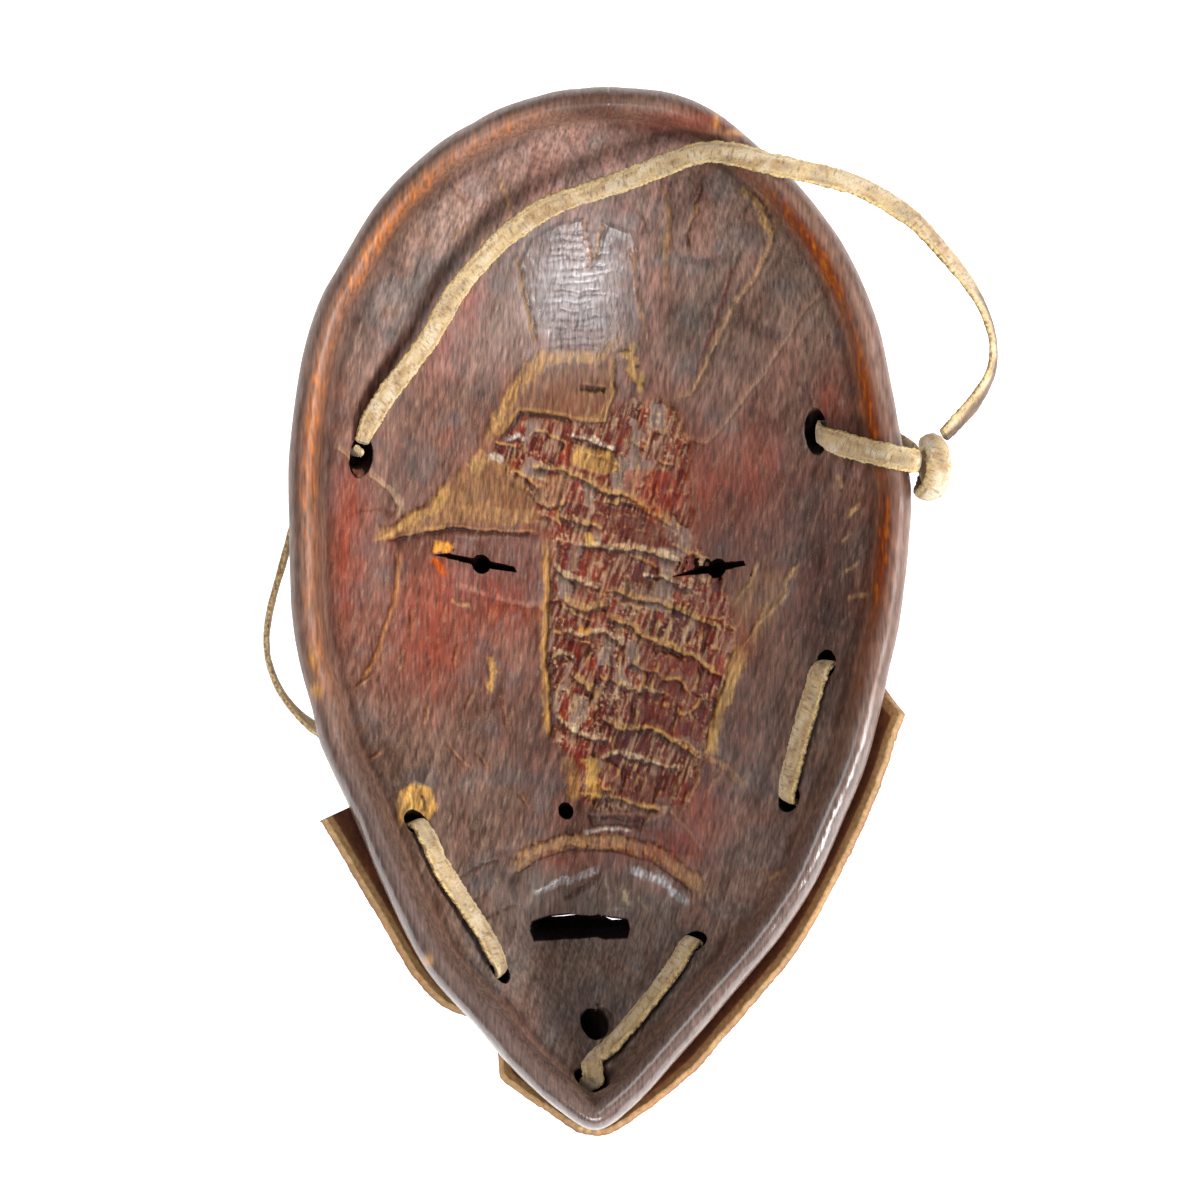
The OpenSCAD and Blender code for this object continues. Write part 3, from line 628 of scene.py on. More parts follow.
facet([(530, 476), (568, 474), (566, 500), (548, 506), (534, 500)], 0.3, 0.2, 0.3, 2, tint=(160, 126, 96), a=0.7)
# dark line under the raised patch: painted shade
ridge([(533, 500), (548, 508), (566, 503)], 4, -0.4, (40, 18, 10), 0.8)
facet([(572, 446), (612, 452), (622, 470), (600, 476), (570, 462)], 0.4, 0.3, 0.6, 2, tint=(188, 146, 84), a=0.8)
# a near-white spot painted as a highlight, with lower roughness
ridge([(493, 455), (500, 459)], 9, 0.3, (245, 243, 240), 0.95, taper=0, gloss=0.2)
facet([(625, 470), (672, 470), (684, 505), (650, 520), (624, 500)], -0.1, 0, 0, 3, tint=(168, 62, 34), a=0.5)
facet([(592, 500), (640, 515), (678, 535), (676, 550), (630, 540), (600, 528)], -0.35, 0, 0, 2, tint=(96, 34, 22), a=0.65)
facet([(556, 540), (590, 548), (600, 560), (575, 575), (556, 560)], -0.3, 0, 0, 2, tint=(98, 38, 26), a=0.6)
facet([(650, 640), (712, 668), (702, 750), (640, 722), (640, 680)], -0.35, 0, 0, 3, tint=(98, 38, 26), a=0.55)
facet([(562, 632), (600, 640), (596, 655), (564, 655)], -0.2, 0, 0, 2, tint=(98, 38, 26), a=0.6)
facet([(606, 765), (680, 778), (672, 806), (610, 796)], -0.2, 0, 0, 3, tint=(92, 34, 26), a=0.6)

# -- brow ledge on the left
facet([(430, 505), (443, 484), (470, 468), (496, 450), (520, 470), (532, 500), (545, 524), (500, 526), (450, 522), (432, 530), (400, 532), (374, 540), (396, 520)], 0.5, 0, 0.4, 3, 1.0,
      gloss=0.75, tint=(140, 104, 72), a=0.8)
ridge([(372, 540), (396, 524), (430, 512), (444, 492), (447, 484)], 12, 0.4, (170, 132, 82), 0.7)
ridge([(450, 506), (490, 512), (536, 518)], 16, 0.3, (166, 126, 88), 0.5)
ridge([(470, 470), (488, 452)], 16, 0.25, (178, 140, 92), 0.65)
step([(380, 541), (430, 531), (447, 527), (500, 531), (542, 534)], 1.5, 22, dark=0.85, wob=0.6, shade_w=10)
ridge([(432, 548), (446, 546), (452, 552)], 11, 0.1, (226, 160, 76), 0.95, taper=0.05, gloss=0.7)
ridge([(430, 558), (440, 565), (444, 574)], 8, -0.2, (196, 92, 22), 0.9, taper=0.05, gloss=0.7)
facet([(455, 536), (541, 537), (542, 604), (500, 596), (452, 580)], -0.1, 0.1, 0.3, 2, tint=(112, 96, 92), a=0.55, gloss=0.36)
step([(452, 584), (480, 592), (510, 602), (542, 604)], 0.4, 12, lip=(150, 118, 104), lip_w=4, dark=0.2)
step([(333, 443), (352, 462), (385, 490), (397, 506), (392, 520)], 0.8, 26, lip=(150, 122, 100), lip_w=7, dark=0.35, side=1, wob=0.6)
step([(397, 545), (395, 590), (387, 620), (372, 660), (356, 692)], 0.7, 22, lip=(160, 112, 74), lip_w=4, dark=0.6, side=1, wob=0.5)
ridge([(450, 596), (458, 602), (472, 606)], 6, 0.4, (176, 150, 110), 0.7)
ridge([(488, 656), (492, 672), (488, 692)], 7, 0.4, (178, 138, 80), 0.8)
for a_, b_ in (((470, 690), (464, 712)), ((455, 640), (450, 668)), ((425, 700), (420, 730)), ((440, 735), (470, 770)), ((500, 700), (505, 730)), ((350, 690), (372, 672)), ((366, 760), (380, 748)),
               ((410, 600), (406, 640)), ((475, 750), (485, 770)), ((515, 790), (525, 805))):
    ridge([a_, b_], 3.2, -0.3, (70, 30, 20), 0.5, wob=0.7, taper=0.3)
    ridge([(a_[0] + 3, a_[1] + 1), (b_[0] + 3, b_[1] + 1)], 3.0, 0.2, (168, 120, 92), 0.45, wob=0.7, taper=0.3)

# -- forehead
# forehead flat: its grey tint is painted sheen
facet([(520, 262), (532, 238), (560, 222), (584, 220), (590, 262), (602, 222), (632, 232), (640, 260), (630, 330), (600, 350), (548, 352), (534, 330), (524, 290)], 0.35, 0.0, -0.5, 2.0, 0.5,
      gloss=0.2, tint=(112, 98, 94), a=0.4)
# painted highlight: a pale soft spot laid over the forehead flat
paint((slice(None), slice(None)), (206, 202, 204), 0.75 * np.exp(-(np.abs((xs + WX - 578) / 44) ** 2.6) - np.abs((ys + WY * 1.5 - 288) / 58) ** 2.6) * (0.35 + 0.9 * fbm2(xs / 26, ys / 5, 3, 181)))
for yy in range(232, 345, 7):
    x_a, x_b = 532 + (yy * 7) % 17, 622 - (yy * 5) % 21
    ridge([(x_a, yy + 3), ((x_a + x_b) / 2, yy + (yy * 3) % 5), (x_b, yy - 2)], 3.4, -0.14, (74, 66, 66), 0.5, wob=0.9, taper=0.3)
# tan grooves, each with a dark line 4 px to its right painted as its shadow
for pts, d_, c in (([(515, 252), (523, 290), (537, 350)], 0.6, (184, 142, 92)), ([(583, 220), (590, 262), (585, 272)], 0.5, (170, 130, 92)), ([(632, 240), (636, 290), (645, 345)], 0.4, (168, 122, 86)),
                   ([(604, 222), (592, 262)], 0.5, (170, 130, 92)), ([(665, 182), (668, 240), (664, 290)], 0.5, (176, 132, 90))):
    ridge(pts, 4.5, -d_, c, 0.7, wob=0.6)
    ridge([(x + 4, y) for x, y in pts], 3.5, -0.2, (52, 30, 24), 0.4, wob=0.6)
step([(778, 212), (770, 245), (755, 280), (735, 305), (715, 345), (702, 375), (690, 395), (672, 398)], 0.8, 22, lip=(178, 138, 104), lip_w=5, a=0.7, dark=0.45, side=-1, wob=0.4)
step([(824, 288), (805, 310), (785, 340), (760, 380), (735, 410), (715, 435), (705, 443), (676, 436)], 0.7, 24, lip=(150, 118, 100), lip_w=5, a=0.6, dark=0.45, side=-1, wob=0.4)
ridge([(733, 260), (728, 280), (715, 320), (700, 360), (692, 384)], 5, -0.35, (104, 44, 34), 0.7, wob=0.4)
ridge([(722, 330), (706, 362), (690, 392)], 3, 0.2, (170, 146, 122), 0.6, wob=0.4)
ridge([(738, 184), (757, 205), (768, 230), (773, 240)], 6, -0.7, (190, 152, 96), 0.85)
# dark line beside the tan groove above, painted as its shadow
ridge([(744, 184), (764, 206), (775, 236)], 4, -0.6, (40, 24, 18), 0.6)
ridge([(750, 188), (768, 196), (762, 210)], 5, -0.5, (196, 160, 104), 0.7)
ridge([(702, 178), (694, 206), (686, 232), (690, 250)], 5, -0.5, (70, 36, 28), 0.7)
ridge([(697, 206), (684, 228)], 4, 0.1, (190, 150, 96), 0.6)
ridge([(672, 255), (700, 262), (732, 258)], 10, 0.0, (60, 52, 54), 0.45)
ridge([(700, 296), (722, 300), (740, 310)], 12, 0.0, (70, 60, 62), 0.35)
ridge([(760, 330), (785, 338)], 14, 0.0, (64, 60, 64), 0.4)
ridge([(742, 408), (768, 424), (790, 440)], 12, 0.0, (54, 46, 48), 0.4)
ridge([(800, 380), (812, 400), (800, 396)], 14, 0.0, (60, 58, 62), 0.45)
for pts in ([(497, 175), (508, 215), (516, 240)], [(478, 250), (492, 225)], [(450, 240), (470, 225)], [(545, 195), (575, 190)], [(660, 395), (690, 440)]):
    ridge(pts, 4, -0.3, (180, 140, 92), 0.55)
for pts in ([(430, 160), (470, 210)], [(620, 150), (628, 190)], [(520, 150), (505, 190)], [(560, 130), (600, 190)], [(690, 150), (700, 175)]):
    ridge(pts, 5, -0.25, (66, 44, 38), 0.4)

# -- round the mouth
ridge([(505, 872), (530, 852), (570, 839), (610, 840), (652, 851), (690, 875), (711, 906)], 14, 0.9, (170, 128, 88), 0.75, wob=0.7, ragged=0.7)
step([(506, 880), (532, 861), (570, 848), (610, 849), (650, 860), (686, 884), (704, 910)], 0.9, 30, dark=0.0, wob=0.4)
# whitish glossy bands below the mouth arch: painted sheen, with lower roughness
ridge([(532, 892), (560, 882), (588, 873), (600, 866)], 9, 0.2, (206, 204, 204), 0.6, gloss=0.2, wob=0.5)
ridge([(622, 866), (660, 880), (690, 906)], 10, 0.2, (206, 208, 212), 0.7, gloss=0.18, wob=0.5)
# the grey tint of this flat round the mouth is painted sheen
facet([(524, 905), (540, 890), (600, 878), (612, 868), (650, 884), (680, 912), (672, 935), (640, 960), (520, 950), (505, 925)], 0, 0, 0, 5, tint=(118, 110, 106), a=0.45, gloss=0.3)
ridge([(560, 900), (590, 884), (600, 872)], 8, -0.2, (70, 34, 28), 0.6)
ridge([(604, 876), (610, 900)], 4, 0.1, (176, 160, 144), 0.6, taper=0.2)
ridge([(622, 888), (628, 905)], 6, 0.15, (200, 184, 150), 0.7, taper=0.2)
ridge([(636, 896), (650, 915)], 4, 0.1, (170, 150, 130), 0.5)
for pts in ([(470, 905), (500, 880)], [(480, 920), (520, 900)], [(450, 880), (500, 858)], [(600, 815), (650, 822)]):
    ridge(pts, 4, -0.25, (60, 40, 34), 0.5)
# a near-white line painted as a highlight, and under it a sunk dark band painted as shade
ridge([(580, 829), (606, 828), (632, 829)], 5, 0.35, (214, 204, 194), 0.8)
facet([(586, 814), (648, 816), (640, 828), (592, 826)], -0.5, 0, 0, 2, tint=(62, 34, 34), a=0.75)
ridge([(642, 820), (668, 812), (690, 830), (702, 850)], 6, 0.3, (156, 122, 98), 0.6)
facet([(645, 826), (690, 834), (700, 855), (670, 850)], -0.2, 0, 0, 3, tint=(112, 44, 34), a=0.5)
# a pale grey line painted as a highlight, with lower roughness
ridge([(604, 912), (628, 908)], 4, 0.1, (170, 170, 170), 0.4, gloss=0.2)

# -- right cheek scratches, stains and painted shade
for pts in ([(778, 600), (760, 622), (734, 656)], [(767, 596), (756, 630), (751, 650)], [(786, 590), (772, 612)], [(752, 578), (735, 606)], [(800, 556), (776, 600)], [(768, 880), (800, 862)],
            [(764, 892), (790, 880)], [(840, 575), (862, 560)], [(846, 520), (860, 500)], [(838, 545), (852, 530)], [(845, 600), (870, 590)], [(836, 470), (842, 490)], [(760, 560), (745, 590)]):
    ridge(pts, 4.2, 0.3, (188, 152, 108), 0.65, wob=0.8, taper=0.25)
facet([(742, 576), (782, 570), (780, 620), (740, 655), (728, 620)], 0.2, 0, 0, 4, tint=(140, 108, 78), a=0.5)
# dark grey patches, mostly on the right: painted shade where the right wall and the recess at (762, 784) turn from the
# light, dark grey stain elsewhere
for x, y, r in ((762, 784, 26), (800, 500, 46), (838, 560, 34), (850, 640, 40), (720, 545, 30), (640, 985, 60), (560, 1010, 46), (840, 700, 40), (820, 610, 30), (830, 830, 30), (700, 960, 40), (480, 870, 24), (820, 420, 26)):
    paint((slice(None), slice(None)), (58, 56, 58), 0.40 * np.exp(-((xs - x) ** 2 + (ys - y) ** 2) / r ** 2) * (0.5 + BLOT))
for x, y, rx, ry in ((760, 470, 26, 50), (700, 480, 34, 46), (445, 590, 40, 40), (430, 650, 50, 50), (345, 560, 22, 70), (830, 400, 16, 24), (560, 860, 20, 10), (350, 500, 20, 50), (505, 600, 30, 30), (660, 850, 40, 14),
                     (740, 640, 14, 24), (700, 820, 30, 30), (440, 340, 20, 30), (470, 300, 16, 30)):
    paint((slice(None), slice(None)), (146, 58, 38), 0.42 * np.exp(-((xs - x) / rx) ** 2 - ((ys - y) / ry) ** 2) * (0.4 + 1.2 * VERT))

# -- torn patch above the first lacing hole
sl, m = facet([(398, 790), (412, 781), (430, 790), (438, 806), (432, 820), (416, 812), (400, 826), (396, 808)], -0.5, 0, 0, 2.0, 1.2, gloss=0.8, tint=(196, 150, 86), a=0.95)
ridge([(408, 790), (412, 815)], 4, 0.3, (224, 186, 120), 0.8)
ridge([(420, 795), (426, 812)], 3, -0.4, (90, 50, 20), 0.8)
# worn ways into the holes, with painted shade darkening round each one
for x, y, r, d in ((785, 792, 15, 0.9), (820, 668, 14, 0.7), (690, 944, 14, 0.6), (586, 1080, 14, 0.6), (594, 1026, 13, 0.5), (500, 966, 11, 0.6), (416, 824, 12, 0.5), (364, 452, 13, 0.5), (812, 434, 14, 0.7)):
    g = np.exp(-((xs - x) / r) ** 2 - ((ys - y) / r) ** 2)
    H -= (d * g).astype(np.float32)
    paint((slice(None), slice(None)), (44, 38, 36), 0.5 * g)
ridge([(806, 452), (806, 430), (814, 414)], 7, 0.2, (150, 146, 142), 0.6, gloss=0.25)

# -- distance inside the edge, and the place round it, on a coarse grid
cx4, cy4 = np.meshgrid(np.arange(0, W, 4) + 2.0, np.arange(0, W, 4) + 2.0)
ring_u = np.linspace(0, NP_, 900, endpoint=False)
ring = outl(ring_u)
rpx, rpy = to_plan(ring[:, 0], ring[:, 1], 62.0)
D4 = np.full(cx4.shape, 1e9)
U4 = np.zeros(cx4.shape)
for k in range(0, 900):
    d = np.hypot(cx4 - rpx[k], cy4 - rpy[k])
    m = d < D4
    D4 = np.where(m, d, D4)
    U4 = np.where(m, ring_u[k], U4)


def sample(a, px, py, scale=1.0):
    x = np.clip(np.asarray(px) / scale - 0.5, 0, a.shape[1] - 1.001)
    y = np.clip(np.asarray(py) / scale - 0.5, 0, a.shape[0] - 1.001)
    ix, iy = x.astype(int), y.astype(int)
    fx, fy = x - ix, y - iy
    if a.ndim == 3:
        fx, fy = fx[..., None], fy[..., None]
    return (a[iy, ix] * (1 - fx) + a[iy, ix + 1] * fx) * (1 - fy) + (a[iy + 1, ix] * (1 - fx) + a[iy + 1, ix + 1] * fx) * fy


DIN = sample(D4, xs, ys, 4.0).astype(np.float32)
UIN = sample(U4, xs, ys, 4.0).astype(np.float32)

# -- broad colours of the wood, read off place by place
# broad zones in round tones, partly stain and partly painted light: the greyed forehead and grey jaw are painted sheen
# and the dark right cheek is painted shade; the brown temples, warm left cheek and red-brown middle are stain
TINTS = [(400, 250, 120, 100, 90), (580, 180, 140, 110, 100), (780, 250, 120, 100, 90), (340, 450, 110, 80, 70), (820, 470, 120, 90, 80),
         (420, 620, 110, 80, 70), (600, 560, 120, 70, 50), (640, 740, 110, 70, 60), (780, 650, 90, 60, 50), (430, 800, 100, 80, 70),
         (820, 780, 130, 110, 100), (600, 1000, 130, 110, 100)]
C = np.zeros((W, W, 3), np.float32)
wsum = np.full((W, W), 1e-6, np.float32)
for x, y, r, g_, b_ in TINTS:
    w = np.exp(-(((xs + WX * 4 - x) / 110) ** 2 + ((ys + WY * 4 - y) / 110) ** 2)) + 1e-5
    C += w[..., None] * lin((r, g_, b_)).astype(np.float32)
    wsum += w
C /= wsum[..., None]
C *= (1 + (BLOT - 0.5)[..., None] * 0.9) * (1 + (FIB - 0.5)[..., None] * 0.9) * (1 + (FIB2 - 0.5)[..., None] * 0.9)
red = ease((fbm2(xs / 22, ys / 60, 3, 131) - 0.46) * 5) * 0.20
C = C * (1 - red[..., None]) + C * np.array([1.28, 0.72, 0.6], np.float32) * red[..., None]
grey = ease((fbm2(xs / 30, ys / 26, 3, 133) - 0.52) * 5) * 0.35
C = C * (1 - grey[..., None]) + C.mean(-1, keepdims=True) * np.array([0.92, 0.97, 1.0], np.float32) * grey[..., None]
tr = TM[..., None]
C = C * (1 - 0.75 * tr) + 0.75 * tr * lin((120, 40, 24)).astype(np.float32) * (0.55 + 1.0 * r2[..., None].astype(np.float32))
strand = ease((FIB - 0.52) * 7) * TM
C = mixc(C, lin((160, 130, 108)), strand * 0.85)
C = mixc(C, lin((64, 26, 18)), ease((0.46 - FIB) * 8) * TM * 0.6)
block = ease((r3 - 0.72) * 9) * ease((r2 - 0.4) * 5) * TM
C = mixc(C, lin((140, 126, 116)), block * 0.7)
flake = ease((SPECK - 0.62) * 9) * ease((fbm2(xs / 16, ys / 13, 2, 191) - 0.45) * 6) * TM
C = mixc(C, lin((196, 166, 132)), flake * 0.75)
for sl, c, m in PAINT:
    C[sl] += (c - C[sl]) * m[..., None]
# worn high edges are lighter and drier, hollows darker
cav = H - blur(H, 3.0)
C = mixc(C, lin((190, 150, 98)), ease((cav - 0.10) / 0.30) * (0.35 + 0.35 * TM))
C = mixc(C, lin((34, 15, 10)), ease((-cav - 0.08) / 0.35) * 0.6)
G += ease((cav - 0.1) / 0.3) * 0.1
# fine pale fibres everywhere
C = mixc(C, lin((170, 142, 116)), ease((fbm2(FP / 1.3, FA / 11, 2, 137) - 0.66) * 9) * 0.26)
C = mixc(C, lin((40, 22, 18)), ease((fbm2(FP / 1.5, FA / 16, 2, 139) - 0.68) * 9) * 0.45)
G = np.clip(G + (BLOT - 0.5) * 0.12 + (FIB - 0.5) * 0.18, 0.14, 0.9)

# -- the rim: worn, orange on its inner slope
bl = ease((UIN - 29.5) / 3) * ease((42.5 - UIN) / 3) * (0.65 + 0.35 * np.sin(UIN * 1.7))
br = ease((UIN - 3.0) / 2) * ease((14.5 - UIN) / 3) * (0.7 + 0.3 * np.sin(UIN * 2.3 + 1))
rn = fbm2(xs / 3.0, ys / 14, 3, 141)
bandl = np.exp(-((DIN - 20) / 7.5) ** 2) * bl
bandr = np.exp(-((DIN - 27) / 7) ** 2) * br
rim = ease((40 - DIN) / 6)
C = mixc(C, lin((122, 92, 78)) * (0.7 + 0.6 * BLOT[..., None]), rim * 0.8)
C = mixc(C, lin((166, 98, 52)), np.clip(bandl * (0.1 + 1.3 * rn), 0, 0.85))
C = mixc(C, lin((196, 118, 52)), np.clip(bandl * ease((rn - 0.55) * 6) * 0.6, 0, 0.9))
C = mixc(C, lin((122, 52, 22)), np.clip(bandr * (0.5 + 1.1 * rn), 0, 0.9))
C = mixc(C, lin((196, 112, 40)), np.clip(bandr * ease((rn - 0.5) * 5) * 0.75, 0, 0.9))
C = mixc(C, lin((60, 36, 26)), np.exp(-((DIN - 6) / 4) ** 2) * 0.5 * (0.4 + rn))
C = mixc(C, lin((58, 34, 24)), np.exp(-((DIN - 33) / 3.5) ** 2) * bl * 0.55)
groove = np.exp(-((DIN - 40) / 5) ** 2) * ease((42.5 - UIN) / 2 + (UIN < 3) * 2)
C = mixc(C, lin((52, 30, 24)), groove * 0.5)
# lower rim: tinted grey as painted sheen, and given lower roughness and more shine
lowrim = ease((UIN - 13) / 3) * ease((30.5 - UIN) / 3) * ease((36 - DIN) / 6)
C = mixc(C, lin((92, 78, 74)), lowrim * 0.7)
G = G + (0.24 - G) * np.clip(lowrim, 0, 1)
top = np.exp(-((xs - 588) / 34) ** 2 - ((ys - 106) / 13) ** 2)
C = mixc(C, lin((60, 34, 24)), top * 0.75)
H -= (0.5 * np.exp(-((xs - 588) / 30) ** 2 - ((ys - 106) / 11) ** 2)).astype(np.float32)
C = mixc(C, lin((140, 52, 30)), 0.5 * np.exp(-((xs - 690) / 50) ** 2 - ((ys - 122) / 12) ** 2))
for x, y, c, rx, ry in ((427, 960, (196, 150, 96), 5, 6), (316, 690, (190, 140, 84), 5, 8), (312, 660, (184, 130, 74), 4, 10), (738, 132, (180, 130, 76), 12, 3), (716, 120, (170, 120, 70), 3, 10)):
    C = mixc(C, lin(c), 0.9 * np.exp(-((xs - x) / rx) ** 2 - ((ys - y) / ry) ** 2) * (0.6 + 0.8 * RAG))
SH = np.full((W, W), 0.30, np.float32)
SH -= 0.20 * np.exp(-((xs - 420) / 85) ** 2 - ((ys - 590) / 190) ** 2)
SH -= 0.16 * np.exp(-((xs - 430) / 70) ** 2 - ((ys - 400) / 70) ** 2)
SH -= 0.10 * np.exp(-((xs - 470) / 90) ** 2 - ((ys - 780) / 120) ** 2)
SH += 0.28 * np.exp(-((xs - 580) / 62) ** 2 - ((ys - 285) / 70) ** 2) + 0.5 * np.exp(-((xs - 575) / 95) ** 2 - ((ys - 142) / 22) ** 2)
SH += 0.35 * np.exp(-((xs - 612) / 100) ** 2 - ((ys - 895) / 28) ** 2) + 0.15 * np.exp(-((xs - 620) / 130) ** 2 - ((ys - 1010) / 70) ** 2)
SH += 0.12 * np.exp(-((xs - 800) / 90) ** 2 - ((ys - 780) / 160) ** 2)
SH += 0.5 * lowrim + 0.15 * rim
SH = np.clip(SH * (0.75 + 0.5 * BLOT), 0.04, 0.95).astype(np.float32)
C = C + (C - C.mean(-1, keepdims=True)) * 0.06
C = np.clip(C * 0.92 - 0.010, 0.003, 0.8).astype(np.float32)
PAINT.clear()
HS = blur(H, 0.7)

# -- the outer side, drawn in the same plan but in mm: heights are out of the wood, towards -Z
H[:] = 0
GB = G.copy()


def mm_(pts):
    return [(600 + (x + 1.31) / PLAN, 600 - (y - 2.89) / PLAN) for x, y in pts]


c4, r4 = cells(46, 34, 74, 0.42, 231)
H += blur(c4.astype(np.float32), 2.2) + (BLOT - 0.5) * 0.7 + (VERT - 0.5) * 0.10
XM, YM = -1.31 + (xs - 600) * PLAN, 2.89 + (600 - ys) * PLAN
for cx_, cy_, sx_ in ((-34.5, 7.6, 1.0), (28.2, 6.3, 1.0)):
    rr = np.hypot((XM - cx_) / 16.0, (YM - cy_) / 7.0)
    H += 1.5 * np.exp(-((rr - 0.62) / 0.34) ** 2) - 1.7 * np.exp(-((rr - 1.28) / 0.22) ** 2)
    ridge(mm_([(cx_ - 16, cy_ - 1), (cx_ - 8, cy_ + 5), (cx_, cy_ + 6.5), (cx_ + 8, cy_ + 5), (cx_ + 16, cy_ - 1)]), 5, -0.9, wob=0.3, taper=0.2)
for k in (-1, 1):
    ridge(mm_([(-1.5 + k * 7, 22), (-1.5 + k * 18, 30), (-1.5 + k * 32, 31), (-1.5 + k * 46, 24), (-1.5 + k * 54, 14)]), 22, 1.3, wob=0.4, taper=0.2, ragged=0.3)
    ridge(mm_([(-1.5 + k * 9, 34), (-1.5 + k * 20, 38), (-1.5 + k * 34, 38), (-1.5 + k * 50, 30)]), 7, -1.0, wob=0.4, taper=0.2)
    ridge(mm_([(-3 + k * 13, -44), (-3 + k * 22, -58), (-4 + k * 28, -74), (-4 + k * 27, -86)]), 9, -1.4, wob=0.5, taper=0.25)
    ridge(mm_([(-2.5 + k * 10, -41), (-2.5 + k * 12, -47), (-2.5 + k * 9, -53)]), 22, 1.6, wob=0.3, taper=0.3, ragged=0.2)
    ridge(mm_([(-2.5 + k * 15.5, -38), (-2.5 + k * 18, -47), (-2.5 + k * 13, -55)]), 6, -1.0, wob=0.3, taper=0.2)
    for q in range(4):
        ridge(mm_([(-1.5 + k * (50 + q * 2), 4 - q * 9), (-1.5 + k * (57 + q), 1 - q * 10)]), 5, -0.7, wob=0.5, taper=0.3)
for y_, w_ in ((58, 34), (68, 38), (78, 36)):
    ridge(mm_([(-2 - w_, y_ - 5), (-2 - w_ / 2, y_ + 1), (-2, y_ - 2), (-2 + w_ / 2, y_ + 1), (-2 + w_, y_ - 5)]), 7, -1.1, wob=0.6, taper=0.15)
ridge(mm_([(-27, -80), (-17, -76), (-10, -74.5), (-6, -76), (-1, -74.5), (6, -76), (13, -80)]), 16, 1.2, wob=0.3, taper=0.15, ragged=0.2)
ridge(mm_([(-24, -86), (-14, -91), (-6, -92.5), (2, -91), (11, -86)]), 18, 1.2, wob=0.3, taper=0.2, ragged=0.2)
ridge(mm_([(-20, -97), (-6, -99.5), (8, -97)]), 9, -1.3, wob=0.4, taper=0.3)
ridge(mm_([(-6, -60), (-6, -72)]), 9, -0.8, wob=0.3, taper=0.3)
HF = blur(H, 0.9)
CF = np.tile(lin((92, 56, 40)).astype(np.float32), (W, W, 1))
CF *= (0.55 + 0.9 * BLOT[..., None]) * (0.6 + 0.8 * FIB2[..., None]) * (0.75 + 0.5 * VERT[..., None])
cav = H - blur(H, 5.0)
CF = mixc(CF, lin((150, 100, 66)), ease((cav - 0.10) / 0.5) * 0.55)
CF = mixc(CF, lin((24, 13, 10)), ease((-cav - 0.08) / 0.5) * 0.8)
CF = np.clip(CF, 0.004, 0.7).astype(np.float32)
PAINT.clear()
G = GB


